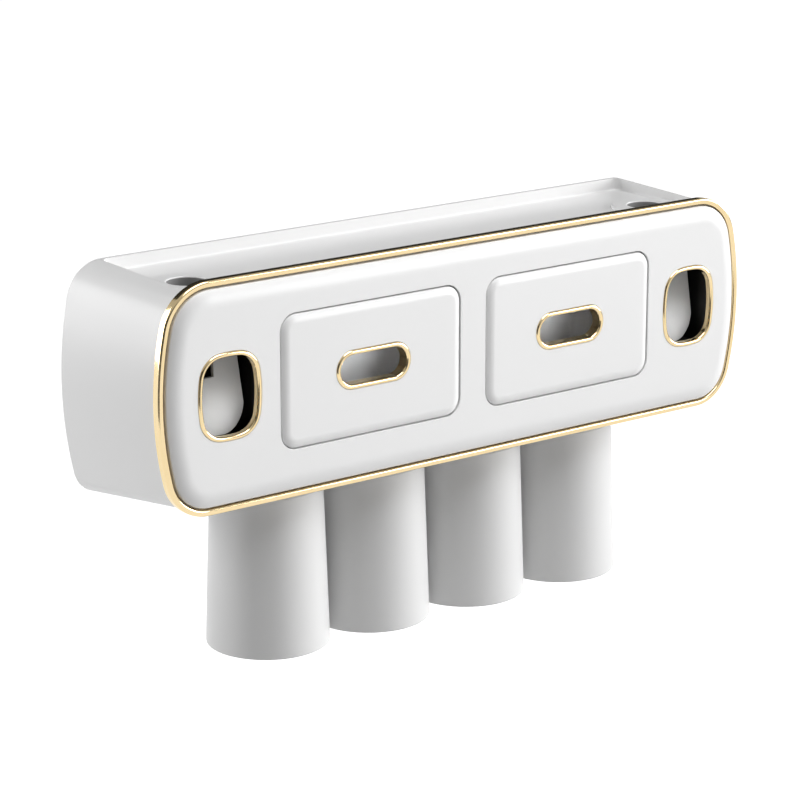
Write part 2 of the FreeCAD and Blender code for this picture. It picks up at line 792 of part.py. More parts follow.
def make_outlet_valve(side):
    floor = chamber_top_out
    flange = valve_radius + valve_flange
    tip = floor - valve_length
    bore = valve_tip_radius / 2
    profile = [(bore, floor + valve_flange_height), (flange, floor + valve_flange_height), (flange, floor),
               (valve_radius, floor), (valve_radius, floor - valve_length / 2), (valve_tip_radius, tip),
               (bore, tip)]
    return turned(profile, side * window_offset, panel_front + valve_depth)


# Cups

def cup_radius(z):
    """The cup's outside radius at a level: it widens evenly from base to rim."""
    share = (-cup_base_below - z) / (cup_rim_below - cup_base_below)
    return cup_base_radius + share * (cup_rim_radius - cup_base_radius)


recess_floor = -cup_base_below - cup_recess_depth
cup_magnet_top = recess_floor - cup_base_skin
cup_cap_top = cup_magnet_top - cup_magnet_height
cup_inner_floor = cup_cap_top - magnet_cap_height


def make_cup(x):
    rim = -cup_rim_below
    inner_rim = cup_rim_radius - cup_wall
    inner_floor = cup_radius(cup_inner_floor) - cup_wall
    bevel = cup_rim_round
    cap_hole = magnet_cap_radius + magnet_fit
    magnet_hole = magnet_radius + magnet_fit
    profile = [(0, recess_floor), (cup_recess_radius, recess_floor), (cup_recess_radius, -cup_base_below),
               (cup_base_radius - bevel, -cup_base_below),
               (cup_radius(-cup_base_below - bevel), -cup_base_below - bevel),
               (cup_rim_radius, rim + bevel / 2), (cup_rim_radius - bevel / 2, rim),
               (inner_rim + bevel / 2, rim), (inner_rim, rim + bevel / 2), (inner_floor, cup_inner_floor),
               (cap_hole, cup_inner_floor), (cap_hole, cup_cap_top),
               (magnet_hole, cup_cap_top), (magnet_hole, cup_magnet_top), (0, cup_magnet_top)]
    return turned(profile, x, cup_axis_y)


def make_cup_magnet(x):
    return rod(magnet_radius, V(x, cup_axis_y, cup_cap_top), UP, cup_magnet_height)


def make_cup_base_cap(x):
    return rod(magnet_cap_radius, V(x, cup_axis_y, cup_inner_floor), UP, magnet_cap_height)


def make_holder_magnet(x):
    return rod(magnet_radius, V(x, cup_axis_y, seat_face + seat_skin), UP, magnet_height)


def make_magnet_cap(x):
    floor = seat_face + seat_skin + magnet_height
    return rod(magnet_cap_radius, V(x, cup_axis_y, floor), UP, magnet_cap_height)


def export(name, shape):
    if not shape.isValid():
        raise RuntimeError(name + " is not a valid solid")
    shape.exportStep("parts/" + name + ".step")


def main():
    os.makedirs("parts", exist_ok=True)
    export("wall_plate", make_wall_plate())
    export("housing_shell", make_housing())
    export("rear_cover", make_rear_cover())
    export("rear_cover_screws", make_screws(cover_screw_places, cover_back, BACK * -1, cover_screw_length))
    export("front_panel", make_front_panel())
    export("gold_bezel", make_bezel())
    panel_screw_seat = housing_front + housing_front_wall
    export("panel_screws", make_screws(panel_screw_places, panel_screw_seat, BACK * -1, panel_screw_length))
    per_side = {"window_trim": make_window_trim, "drawer_sleeve": make_drawer_sleeve,
                "drawer_box": make_drawer_box, "drawer_front": make_drawer_front, "slot_trim": make_slot_trim,
                "lever_chamber": make_lever_chamber, "push_lever": make_push_lever, "lever_pin": make_lever_pin,
                "return_spring": make_return_spring, "pump_body": make_pump_body,
                "pump_bladder": make_pump_bladder, "outlet_valve": make_outlet_valve,
                "tube_collar": make_tube_collar, "tube_seal": make_tube_seal}
    for side, word in ((-1, "left"), (1, "right")):
        for name, make in per_side.items():
            export(name + "_" + word, make(side))
    per_cup = {"cup": make_cup, "cup_magnet": make_cup_magnet, "cup_base_cap": make_cup_base_cap,
               "holder_magnet": make_holder_magnet, "magnet_cap": make_magnet_cap}
    for number, x in enumerate(cup_positions, 1):
        for name, make in per_cup.items():
            export(name + "_" + str(number), make(x))


main()
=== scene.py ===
import bmesh
import bpy
import json
import math
from mathutils import Matrix, Vector


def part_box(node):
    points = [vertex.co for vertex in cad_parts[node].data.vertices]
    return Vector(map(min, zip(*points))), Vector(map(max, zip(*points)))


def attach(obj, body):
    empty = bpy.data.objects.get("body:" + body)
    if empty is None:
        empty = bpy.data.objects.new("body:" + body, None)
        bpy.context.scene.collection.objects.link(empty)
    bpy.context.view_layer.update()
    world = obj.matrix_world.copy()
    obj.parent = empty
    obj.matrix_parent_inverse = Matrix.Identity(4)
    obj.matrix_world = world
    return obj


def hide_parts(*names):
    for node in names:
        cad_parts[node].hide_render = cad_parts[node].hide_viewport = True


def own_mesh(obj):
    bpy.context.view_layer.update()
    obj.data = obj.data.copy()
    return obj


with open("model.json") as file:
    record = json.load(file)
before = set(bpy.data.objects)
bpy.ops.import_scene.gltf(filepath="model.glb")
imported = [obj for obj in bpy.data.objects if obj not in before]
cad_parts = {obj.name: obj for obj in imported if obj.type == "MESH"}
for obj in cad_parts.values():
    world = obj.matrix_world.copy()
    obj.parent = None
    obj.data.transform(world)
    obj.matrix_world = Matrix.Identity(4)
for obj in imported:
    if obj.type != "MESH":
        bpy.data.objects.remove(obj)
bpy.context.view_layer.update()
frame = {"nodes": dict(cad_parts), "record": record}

# Wall-mounted toothpaste dispenser with drawers, a tray and hanging cups.
# Pieces are modelled in millimetres, in the frame of the solids, and brought to metres when finished.

MM = 0.001
SIDES = (("left", -1), ("right", 1))
MODES = {"verts": 'VERT', "edges": 'EDGE', "faces": 'FACE'}
MERGE = 0.002         # points closer than this become one
NEAR = 0.01           # loops this close to a depth count as lying at it
STRAIGHT = 0.999      # an edge with a larger cosine counts as running along an axis
CROWN_STRIP = 0.4     # narrow strip beside a crown, which keeps the flat front's shading flat
CROWN_STEPS = 12
X_AXIS, Y_AXIS, Z_AXIS = (1, 0, 0), (0, 1, 0), (0, 0, 1)


def node_box(node):
    """Lowest and highest corner of a solid, in millimetres."""
    low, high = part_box(node)
    return low / MM, high / MM


# Modelling by hand

def only(piece):
    """Makes a piece the one that is selected and active."""
    bpy.ops.object.select_all(action='DESELECT')
    piece.select_set(True)
    bpy.context.view_layer.objects.active = piece


def set_down(piece):
    """Puts a piece's place, turn and size into its mesh."""
    only(piece)
    bpy.ops.object.transform_apply(location=True, rotation=True, scale=True)


def add(shape, name, **sizes):
    """A new primitive, alone in the selection, with its place in its mesh."""
    bpy.ops.object.select_all(action='DESELECT')
    getattr(bpy.ops.mesh, "primitive_" + shape + "_add")(**sizes)
    piece = bpy.context.object
    piece.name = name
    piece.data.name = name
    set_down(piece)
    return piece


def block(name, low, high):
    """A cube stretched between two corners."""
    low, high = Vector(low), Vector(high)
    return add("cube", name, size=1, location=(low + high) / 2, scale=high - low)


def rod(name, start, end, radius, sides=64):
    """A cylinder between two points."""
    start, end = Vector(start), Vector(end)
    turned = (end - start).to_track_quat('Z', 'Y').to_euler()
    return add("cylinder", name, vertices=sides, radius=radius, depth=(end - start).length,
               location=(start + end) / 2, rotation=turned)


def edit(piece):
    """Opens a piece in edit mode."""
    only(piece)
    bpy.ops.object.mode_set(mode='EDIT')
    bpy.ops.mesh.select_mode(type='VERT')


def leave_edit():
    bpy.ops.object.mode_set(mode='OBJECT')


def middle(item):
    """Middle of a vertex, an edge or a face."""
    if isinstance(item, bmesh.types.BMVert):
        return item.co
    return sum((vert.co for vert in item.verts), Vector()) / len(item.verts)


def along(edge, axis):
    """True where an edge runs along a coordinate axis."""
    return abs((edge.verts[1].co - edge.verts[0].co).normalized()[axis]) > STRAIGHT


def pick(kind, test):
    """Selects the vertices, edges or faces that pass a test."""
    bpy.ops.mesh.select_mode(type=MODES[kind])
    bpy.ops.mesh.select_all(action='DESELECT')
    data = bpy.context.edit_object.data
    mesh = bmesh.from_edit_mesh(data)
    for item in getattr(mesh, kind):
        if test(item):
            item.select_set(True)
    bmesh.update_edit_mesh(data)


def pick_all():
    bpy.ops.mesh.select_mode(type='VERT')
    bpy.ops.mesh.select_all(action='SELECT')


def bevel(radius, steps, what='EDGES'):
    bpy.ops.mesh.bevel(offset_type='OFFSET', offset=radius, segments=steps, profile=0.5, affect=what,
                       clamp_overlap=False)


def round_corner(point, radius, steps=5):
    """Rounds one corner of a drawn line."""
    target = Vector(point)
    pick("verts", lambda vert: (vert.co - target).length < MERGE)
    bevel(radius, steps, 'VERTICES')


def extrude(x, y, z):
    bpy.ops.mesh.extrude_region_move(TRANSFORM_OT_translate={"value": (x, y, z)})


def turn(centre, angle, steps, axis=Y_AXIS):
    """Spins the selection; with no window the spin runs against the right-hand rule."""
    bpy.ops.mesh.spin(steps=steps, dupli=False, angle=-angle, center=centre, axis=axis)


def join_doubles():
    bpy.ops.mesh.select_all(action='SELECT')
    bpy.ops.mesh.remove_doubles(threshold=MERGE)
    bpy.ops.mesh.normals_make_consistent(inside=False)


def apply(piece, modifier):
    only(piece)
    bpy.ops.object.modifier_apply(modifier=modifier.name)


def mirror(piece):
    """Mirrors a half across the middle plane x = 0."""
    modifier = piece.modifiers.new("mirror", 'MIRROR')
    modifier.use_axis = (True, False, False)
    modifier.merge_threshold = MERGE
    apply(piece, modifier)


def combine(piece, tool, operation='DIFFERENCE'):
    """Cuts, adds or meets a piece with a tool, which is used up."""
    modifier = piece.modifiers.new("combine", 'BOOLEAN')
    modifier.object = tool
    modifier.operation = operation
    modifier.solver = 'EXACT'
    apply(piece, modifier)
    bpy.data.objects.remove(tool)


def soften(piece, width, steps=2, angle=35):
    """Breaks the sharp edges that are left."""
    modifier = piece.modifiers.new("soften", 'BEVEL')
    modifier.width = width
    modifier.segments = steps
    modifier.limit_method = 'ANGLE'
    modifier.angle_limit = math.radians(angle)
    modifier.use_clamp_overlap = True
    apply(piece, modifier)


def move(piece, x, y, z):
    """Moves a piece and puts its new place into its mesh."""
    only(piece)
    bpy.ops.transform.translate(value=(x, y, z))
    set_down(piece)
    return piece


def finish_piece(piece, body, finish, slot, *nodes, smooth=35):
    """Brings a piece to metres, smooths it and hands it to its body in place of its solids."""
    piece.scale = (MM, MM, MM)
    set_down(piece)
    bpy.ops.object.shade_smooth_by_angle(angle=math.radians(smooth))
    even = piece.modifiers.new("even", 'WEIGHTED_NORMAL')
    even.keep_sharp = True
    apply(piece, even)
    piece.data.materials.clear()
    piece.data.materials.append(finish)
    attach(piece, body)
    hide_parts(*nodes)
    return piece


def copy_of(piece, name, x):
    """A copy with its own mesh, moved along x."""
    only(piece)
    bpy.ops.object.duplicate(linked=False)
    twin = bpy.context.object
    twin.name = name
    twin.data.name = name
    return move(twin, x, 0, 0)


# Outlines: each is swept from the middle of its top, round its right half, to the middle of its bottom

class BowedOutline:
    """Straight top and bottom, bowed ends and round corners that run into each other."""

    def __init__(self, half_width, top, bottom, corner_top, corner_bottom, bow):
        self.top = top
        self.height = (top + bottom) / 2
        self.bow_x = half_width - bow
        self.upper, self.upper_angle = self.corner(top - corner_top, bow - corner_top)
        self.lower, self.lower_angle = self.corner(bottom + corner_bottom, bow - corner_bottom)

    def corner(self, z, reach):
        """Centre of a corner's arc, and the direction in which the corner meets the bowed end."""
        rise = z - self.height
        x = self.bow_x + math.sqrt(reach ** 2 - rise ** 2)
        return (x, z), math.atan2(x - self.bow_x, rise)

    def sweep(self, y, corner_steps=18, bow_steps=36):
        extrude(self.upper[0], 0, 0)
        turn((self.upper[0], y, self.upper[1]), self.upper_angle, corner_steps)
        turn((self.bow_x, y, self.height), self.lower_angle - self.upper_angle, bow_steps)
        turn((self.lower[0], y, self.lower[1]), math.pi - self.lower_angle, corner_steps)
        extrude(-self.lower[0], 0, 0)


class BarrelOutline:
    """Sides, top and bottom that all bow outwards, with tangent corners."""

    def __init__(self, width, height, corner, side_bow, top_bow):
        self.top = height / 2
        self.side_x = width / 2 - side_bow
        self.top_z = height / 2 - top_bow
        apart = math.hypot(self.side_x, self.top_z)
        across_x, across_z = -self.side_x / apart, self.top_z / apart
        reach = side_bow - corner
        run = (reach ** 2 - (top_bow - corner) ** 2 + apart ** 2) / (2 * apart)
        rise = math.sqrt(reach ** 2 - run ** 2)
        self.corner_x = self.side_x + across_x * run - across_z * rise
        self.corner_z = across_z * run + across_x * rise
        self.top_angle = math.atan2(self.corner_x, self.corner_z - self.top_z)
        self.side_angle = math.atan2(self.corner_z, self.corner_x - self.side_x)

    def sweep(self, y, top_steps=8, corner_steps=14, side_steps=16):
        corner_angle = math.pi / 2 - self.top_angle - self.side_angle
        turn((0, y, self.top_z), self.top_angle, top_steps)
        turn((self.corner_x, y, self.corner_z), corner_angle, corner_steps)
        turn((self.side_x, y, 0), 2 * self.side_angle, side_steps)
        turn((self.corner_x, y, -self.corner_z), corner_angle, corner_steps)
        turn((0, y, -self.top_z), self.top_angle, top_steps)


class RoundedOutline:
    """A rectangle with round corners; its ends are half round where the corner is half its height."""

    def __init__(self, width, height, corner):
        self.top = height / 2
        self.x, self.z = width / 2 - corner, height / 2 - corner

    def sweep(self, y, steps=14):
        extrude(self.x, 0, 0)
        turn((self.x, y, self.z), math.pi / 2, steps)
        if self.z > MERGE:
            extrude(0, 0, -2 * self.z)
        turn((self.x, y, -self.z), math.pi / 2, steps)
        extrude(-self.x, 0, 0)


def start_point(x, y, z):
    """One vertex in the piece that is open, made from a plane that is merged."""
    bpy.ops.mesh.select_all(action='DESELECT')
    bpy.ops.mesh.primitive_plane_add(size=1, location=(x, y, z))
    bpy.ops.mesh.merge(type='CENTER')


def point_piece(name, x, y, z):
    """A new piece of one vertex, left open in edit mode."""
    piece = add("plane", name, size=1, location=(x, y, z))
    edit(piece)
    bpy.ops.mesh.select_all(action='SELECT')
    bpy.ops.mesh.merge(type='CENTER')
    return piece


def draw(points):
    """Draws a line through points by extruding the selected vertex, which stands at the first."""
    for start, end in zip(points, points[1:]):
        extrude(*(Vector(end) - Vector(start)))


def draw_closed(points):
    """Draws a line through points and back to the first."""
    draw(points + points[:1])
    pick_all()
    bpy.ops.mesh.remove_doubles(threshold=MERGE)


def sweep_section(piece, outline, y):
    """Carries the drawn section round an outline and mirrors it to the other half."""
    pick_all()
    outline.sweep(y)
    leave_edit()
    mirror(piece)
    edit(piece)
    join_doubles()
    leave_edit()


def fill(piece, *levels):
    """Closes the open loops that lie at the given depths."""
    edit(piece)
    for y in levels:
        pick("edges", lambda edge: edge.is_boundary and abs(middle(edge).y - y) < NEAR)
        bpy.ops.mesh.edge_face_add()
    join_doubles()
    leave_edit()


def slab(name, outline, y0, y1):
    """The plain solid of an outline between two depths."""
    piece = point_piece(name, 0, y0, outline.top)
    extrude(0, y1 - y0, 0)
    sweep_section(piece, outline, y0)
    fill(piece, y0, y1)
    return piece


def ring(name, outline, section, rounds):
    """A closed section of (y, inset) corners swept round an outline; rounds has radii by corner."""
    points = [(0, y, outline.top - inset) for y, inset in section]
    piece = point_piece(name, *points[0])
    draw_closed(points)
    for number, radius in rounds.items():
        round_corner(points[number], radius)
    sweep_section(piece, outline, points[0][1])
    return piece


def crowned_plate(name, outline, front, radius, drop, flat_edge, tail):
    """A plate whose front falls away to its edge on an arc; tail goes on from the edge to the back."""
    width = math.sqrt(2 * radius * drop - drop ** 2)
    crown_start = outline.top - width
    piece = point_piece(name, 0, front, outline.top - flat_edge)
    extrude(0, 0, flat_edge - width - CROWN_STRIP)
    extrude(0, 0, CROWN_STRIP)
    turn((0, front + radius, crown_start), -math.asin(width / radius), CROWN_STEPS, X_AXIS)
    draw([(0, front + drop, outline.top)] + [(0, y, outline.top - inset) for y, inset in tail])
    sweep_section(piece, outline, front)
    fill(piece, front, tail[-1][0])
    return piece


def loft(name, front, front_y, back, back_y):
    """A closed body between two outlines."""
    piece = point_piece(name, 0, front_y, front.top)
    front.sweep(front_y)
    start_point(0, back_y, back.top)
    back.sweep(back_y)
    bpy.ops.mesh.select_all(action='SELECT')
    bpy.ops.mesh.bridge_edge_loops()
    leave_edit()
    mirror(piece)
    fill(piece, front_y, back_y)
    return piece


def lathe(name, x, y, profile, rounds, steps=96):
    """Turns a profile of (radius, z) about a vertical axis; rounds has radii by corner."""
    points = [(x + radius, y, z) for radius, z in profile]
    piece = point_piece(name, *points[0])
    draw(points)
    for number, radius in rounds.items():
        round_corner(points[number], radius)
    pick_all()
    turn((x, y, 0), 2 * math.pi, steps, Z_AXIS)
    join_doubles()
    leave_edit()
    return piece


# Finishes

NOISE_LOW, NOISE_HIGH = 0.3, 0.7     # the stretch of a noise that is used
GLOSS_FINER = 3                      # how many times finer the gloss changes than the tone
BUMP_STRENGTH = 0.1


def new_finish(name):
    finish = bpy.data.materials.new(name)
    finish.use_nodes = True
    nodes = finish.node_tree.nodes
    return finish, nodes, finish.node_tree.links, nodes["Principled BSDF"]


def object_noise(nodes, links, scale, detail):
    """Noise that stays with the piece."""
    place = nodes.new("ShaderNodeTexCoord")
    noise = nodes.new("ShaderNodeTexNoise")
    noise.inputs["Scale"].default_value = scale
    noise.inputs["Detail"].default_value = detail
    links.new(place.outputs["Object"], noise.inputs["Vector"])
    return noise


def ramp_of(nodes, links, source, low, high):
    """A noise turned into a colour between two others."""
    ramp = nodes.new("ShaderNodeValToRGB")
    ramp.color_ramp.elements[0].position = NOISE_LOW
    ramp.color_ramp.elements[1].position = NOISE_HIGH
    ramp.color_ramp.elements[0].color = (*low, 1)
    ramp.color_ramp.elements[1].color = (*high, 1)
    links.new(source.outputs["Fac"], ramp.inputs["Fac"])
    return ramp


def range_of(nodes, links, source, low, high):
    """A noise turned into a value between two others."""
    span = nodes.new("ShaderNodeMapRange")
    span.inputs["From Min"].default_value = NOISE_LOW
    span.inputs["From Max"].default_value = NOISE_HIGH
    span.inputs["To Min"].default_value = low
    span.inputs["To Max"].default_value = high
    links.new(source.outputs["Fac"], span.inputs["Value"])
    return span


def bump_of(nodes, links, source, shader, distance):
    bump = nodes.new("ShaderNodeBump")
    bump.inputs["Strength"].default_value = BUMP_STRENGTH
    bump.inputs["Distance"].default_value = distance
    links.new(source.outputs["Fac"], bump.inputs["Height"])
    links.new(bump.outputs["Normal"], shader.inputs["Normal"])


def surface(name, low, high, roughness, blotch_scale, grain_scale, grain_depth, metallic=0.0):
    """A moulded or plated surface: slow changes of tone, uneven gloss and a fine grain."""
    finish, nodes, links, shader = new_finish(name)
    shader.inputs["Metallic"].default_value = metallic
    blotch = object_noise(nodes, links, blotch_scale, detail=3)
    tone = ramp_of(nodes, links, blotch, low, high)
    links.new(tone.outputs["Color"], shader.inputs["Base Color"])
    gloss = object_noise(nodes, links, blotch_scale * GLOSS_FINER, detail=2)
    rough = range_of(nodes, links, gloss, *roughness)
    links.new(rough.outputs["Result"], shader.inputs["Roughness"])
    grain = object_noise(nodes, links, grain_scale, detail=2)
    bump_of(nodes, links, grain, shader, grain_depth)
    return finish


def grey(level):
    return (level, level, level)


white_plastic = surface("white_moulded_plastic", grey(0.80), grey(0.815), roughness=(0.30, 0.33),
                        blotch_scale=7, grain_scale=900, grain_depth=0.00003)
cup_plastic = surface("white_cup_plastic", grey(0.69), grey(0.71), roughness=(0.34, 0.38),
                      blotch_scale=9, grain_scale=1100, grain_depth=0.00004)
inner_plastic = surface("white_inner_plastic", grey(0.74), grey(0.77), roughness=(0.42, 0.48),
                        blotch_scale=12, grain_scale=1000, grain_depth=0.00006)
gold_plate = surface("polished_gold_plate", (0.84, 0.66, 0.37), (0.90, 0.72, 0.43), roughness=(0.09, 0.13),
                     blotch_scale=30, grain_scale=700, grain_depth=0.00001, metallic=1.0)
black_plastic = surface("black_chamber_plastic", grey(0.010), grey(0.017), roughness=(0.45, 0.6),
                        blotch_scale=25, grain_scale=1200, grain_depth=0.00008)
grey_plastic = surface("grey_pump_plastic", grey(0.30), grey(0.36), roughness=(0.45, 0.6),
                       blotch_scale=25, grain_scale=900, grain_depth=0.00008)
soft_rubber = surface("soft_grey_rubber", grey(0.22), grey(0.27), roughness=(0.55, 0.7),
                      blotch_scale=30, grain_scale=800, grain_depth=0.0001)
bright_steel = surface("bright_plated_steel", grey(0.50), grey(0.60), roughness=(0.22, 0.34),
                       blotch_scale=60, grain_scale=1500, grain_depth=0.00003, metallic=1.0)
magnet_steel = surface("nickelled_magnet", grey(0.42), grey(0.50), roughness=(0.25, 0.38),
                       blotch_scale=60, grain_scale=1500, grain_depth=0.00003, metallic=1.0)

SLOT_FINISH = {"white_plastic": inner_plastic, "gold_plating": gold_plate, "black_plastic": black_plastic,
               "grey_plastic": grey_plastic, "soft_rubber": soft_rubber, "steel": bright_steel,
               "magnet_steel": magnet_steel}
# Solids that show through an opening get the finish of their material
for part in frame["record"]["subparts"]:
    solid = frame["nodes"][part["node"]]
    solid.data.materials.clear()
    solid.data.materials.append(SLOT_FINISH[part["material_slot"]])

# Front: gold rim, panel, drawers' fronts and gold rings

OVER = 5.0                  # how far a cutting tool reaches past what it cuts
TOP_CORNER = 28.0
BOTTOM_CORNER = 25.0
END_BOW = 178.0             # radius of the bowed ends
RIM = 3.2                   # width of the solid's rim
RIM_FACE = 3.5              # width of the rim that is drawn
RIM_ROUND = 1.2
FLANGE_THICK = 1.0
PANEL_GAP = 0.8
GROOVE = 0.5                # added to the gap, so that it shows as a dark line
SKIRT = 3.0
PANEL_FLAT_EDGE = 16.0
PANEL_CROWN = 16.0
PANEL_DROP = 2.9
PANEL_HOLE_EDGE = 0.35
DRAWER_CORNER = 9.0
DRAWER_GAP = 0.8
DRAWER_FLAT_EDGE = 8.0
DRAWER_CROWN = 8.0
DRAWER_DROP = 1.8
DRAWER_HOLE_EDGE = 0.3
SLOT_BAND = 2.7             # width of the slots' gold rings
WINDOW_BAND = 2.6           # width of the windows' gold rings
BAND_ROUND = 1.2
BAND_FIT = 0.05
GOLD_SMOOTH = 50            # degrees up to which the gold's edges are shaded smooth
WINDOW_WIDTH = 38.8
WINDOW_HEIGHT = 46.6
WINDOW_CORNER = 13.8
WINDOW_SIDE_BOW = 75.0
WINDOW_TOP_BOW = 60.0

rim_low, rim_high = node_box("gold_bezel")
panel_low, panel_high = node_box("front_panel")
drawer_low, drawer_high = node_box("drawer_front_right")
window_low, window_high = node_box("window_trim_right")
slot_low, slot_high = node_box("slot_trim_right")
drawer_size, drawer_spot = drawer_high - drawer_low, (drawer_low + drawer_high) / 2
slot_size, slot_spot = slot_high - slot_low, (slot_low + slot_high) / 2
window_spot = (window_low + window_high) / 2
HALF_WIDTH = panel_high.x + RIM + PANEL_GAP
PANEL_BACK = drawer_high.y


def front_outline(inset):
    return BowedOutline(HALF_WIDTH - inset, rim_high.z - inset, rim_low.z + inset, TOP_CORNER - inset,
                        BOTTOM_CORNER - inset, END_BOW - inset)


def drawer_outline(grow):
    return RoundedOutline(drawer_size.x + 2 * grow, drawer_size.z + 2 * grow, DRAWER_CORNER + grow)


def slot_outline(grow):
    height = slot_size.z + 2 * grow
    return RoundedOutline(slot_size.x + 2 * grow, height, height / 2)


def window_outline(grow):
    return BarrelOutline(WINDOW_WIDTH + 2 * grow, WINDOW_HEIGHT + 2 * grow, WINDOW_CORNER + grow,
                         WINDOW_SIDE_BOW + grow, WINDOW_TOP_BOW + grow)


def gold_rim():
    front, back = rim_low.y, rim_high.y
    section = [(front, 0), (back, 0), (back, RIM_FACE), (front, RIM_FACE)]
    piece = ring("gold_rim", front_outline(0), section, {0: RIM_ROUND, 3: RIM_ROUND})
    finish_piece(piece, "housing", gold_plate, "gold_plating", "gold_bezel", smooth=GOLD_SMOOTH)


def panel_face():
    back = rim_high.y - FLANGE_THICK
    tail = [(back, 0), (back, SKIRT), (PANEL_BACK, SKIRT), (PANEL_BACK, PANEL_FLAT_EDGE)]
    piece = crowned_plate("panel_face", front_outline(RIM + PANEL_GAP + GROOVE), panel_low.y, PANEL_CROWN,
                          PANEL_DROP, PANEL_FLAT_EDGE, tail)
    openings = ((drawer_outline(DRAWER_GAP), drawer_spot), (window_outline(BAND_FIT), window_spot))
    for _, side in SIDES:
        for outline, spot in openings:
            hole = slab("hole", outline, panel_low.y - OVER, panel_high.y + OVER)
            combine(piece, move(hole, side * spot.x, 0, spot.z))
    soften(piece, PANEL_HOLE_EDGE, angle=50)
    finish_piece(piece, "housing", white_plastic, "white_plastic", "front_panel")


def drawer_face(word, side):
    tail = [(drawer_high.y, 0), (drawer_high.y, DRAWER_FLAT_EDGE)]
    piece = crowned_plate("drawer_face_" + word, drawer_outline(0), drawer_low.y, DRAWER_CROWN, DRAWER_DROP,
                          DRAWER_FLAT_EDGE, tail)
    move(piece, side * drawer_spot.x, 0, drawer_spot.z)
    hole = slab("hole", slot_outline(BAND_FIT), slot_low.y - OVER, slot_high.y + OVER)
    combine(piece, move(hole, side * slot_spot.x, 0, slot_spot.z))
    soften(piece, DRAWER_HOLE_EDGE, angle=50)
    finish_piece(piece, "drawer_" + word, white_plastic, "white_plastic", "drawer_front_" + word)


def band(name, outline, width, low, high):
    """A gold ring with two round front edges."""
    section = [(low.y, 0), (high.y, 0), (high.y, width), (low.y, width)]
    return ring(name, outline, section, {0: BAND_ROUND, 3: BAND_ROUND})


def slot_ring(word, side):
    piece = band("slot_ring_" + word, slot_outline(0), SLOT_BAND, slot_low, slot_high)
    move(piece, side * slot_spot.x, 0, slot_spot.z)
    finish_piece(piece, "drawer_" + word, gold_plate, "gold_plating", "slot_trim_" + word, smooth=GOLD_SMOOTH)


def window_ring(word, side):
    piece = band("window_ring_" + word, window_outline(0), WINDOW_BAND, window_low, window_high)
    move(piece, side * window_spot.x, 0, window_spot.z)
    finish_piece(piece, "housing", gold_plate, "gold_plating", "window_trim_" + word, smooth=GOLD_SMOOTH)


# Casing with the tray on top and the cup seats below

HOUSING_INSET = 2.4         # how far the casing's front lies inside the rim
HOUSING_BOW = 220.0
WALL = 2.8
FRONT_WALL = 2.5
END_FLARE = 6.3             # how much the ends grow from the front to the wall
BOTTOM_FLARE = 7.65
BACK_TOP_CORNER = 22.0
BACK_BOTTOM_CORNER = 16.0
CASING_EDGE = 0.7
SLEEVE_LAP = 3.6            # how far the sleeves' flanges reach past their openings
CHAMBER_FIT = 0.3
HOLE_PAST = 1.0             # how far an opening's tool reaches behind the front wall
TRAY_HALF_WIDTH = 178.6
TRAY_RIM = 2.6
TRAY_CORNER = 5.0
TRAY_FOOT = 1.2
TRAY_FLOOR_THICK = 2.5
COLLAR_HEIGHT = 1.8
COLLAR_HOLE = 10.7
COLLAR_INNER_ROUND = 0.7
COLLAR_OUTER_ROUND = 0.9
NECK_RADIUS = 12.9
NECK_FIT = 0.2
SEAL_HOLE = 8.5
SHADE_LINING = 0.5                # thickness of the seal's dark lip that lines the collar's hole, painted shade inside the hole
SHADE_LINING_STEP = 0.8           # how far the lip stays below the collar's top
SEAT_RADIUS = 24.5
SEAT_RISE = 15.0
CUP_COUNT = 4
CUP_PITCH = 68.4
CUP_Y = -41.1
CUP_X = [CUP_PITCH * (number - (CUP_COUNT - 1) / 2) for number in range(CUP_COUNT)]
casing_low, casing_high = node_box("housing_shell")
TRAY_FLOOR = node_box("tube_collar_right")[1].z - COLLAR_HEIGHT
CAVITY_TOP = TRAY_FLOOR - TRAY_FLOOR_THICK


def casing_outline(y, inset, top):
    """The casing's section at a depth: it grows towards the wall at the ends and below."""
    share = (y - casing_low.y) / (casing_high.y - casing_low.y)
    front_top, front_bottom = TOP_CORNER - HOUSING_INSET, BOTTOM_CORNER - HOUSING_INSET
    corner_top = front_top + share * (BACK_TOP_CORNER - front_top) - (casing_high.z - top)
    corner_bottom = front_bottom + share * (BACK_BOTTOM_CORNER - front_bottom)
    bottom = rim_low.z + HOUSING_INSET - share * BOTTOM_FLARE
    half_width = HALF_WIDTH - HOUSING_INSET + share * END_FLARE
    return BowedOutline(half_width - inset, top, bottom + inset, corner_top, corner_bottom - inset,
                        HOUSING_BOW - inset)


def tray_space():
    """What is cut away for the tray, with round corners and a round foot."""
    tray = block("tray", (-TRAY_HALF_WIDTH, casing_low.y + TRAY_RIM, TRAY_FLOOR),
                 (TRAY_HALF_WIDTH, casing_high.y - TRAY_RIM, casing_high.z + OVER))
    edit(tray)
    pick("edges", lambda edge: along(edge, axis=2))
    bevel(TRAY_CORNER, steps=8)
    pick("edges", lambda edge: all(vert.co.z < TRAY_FLOOR + MERGE for vert in edge.verts))
    bevel(TRAY_FOOT, steps=3)
    leave_edit()
    return tray


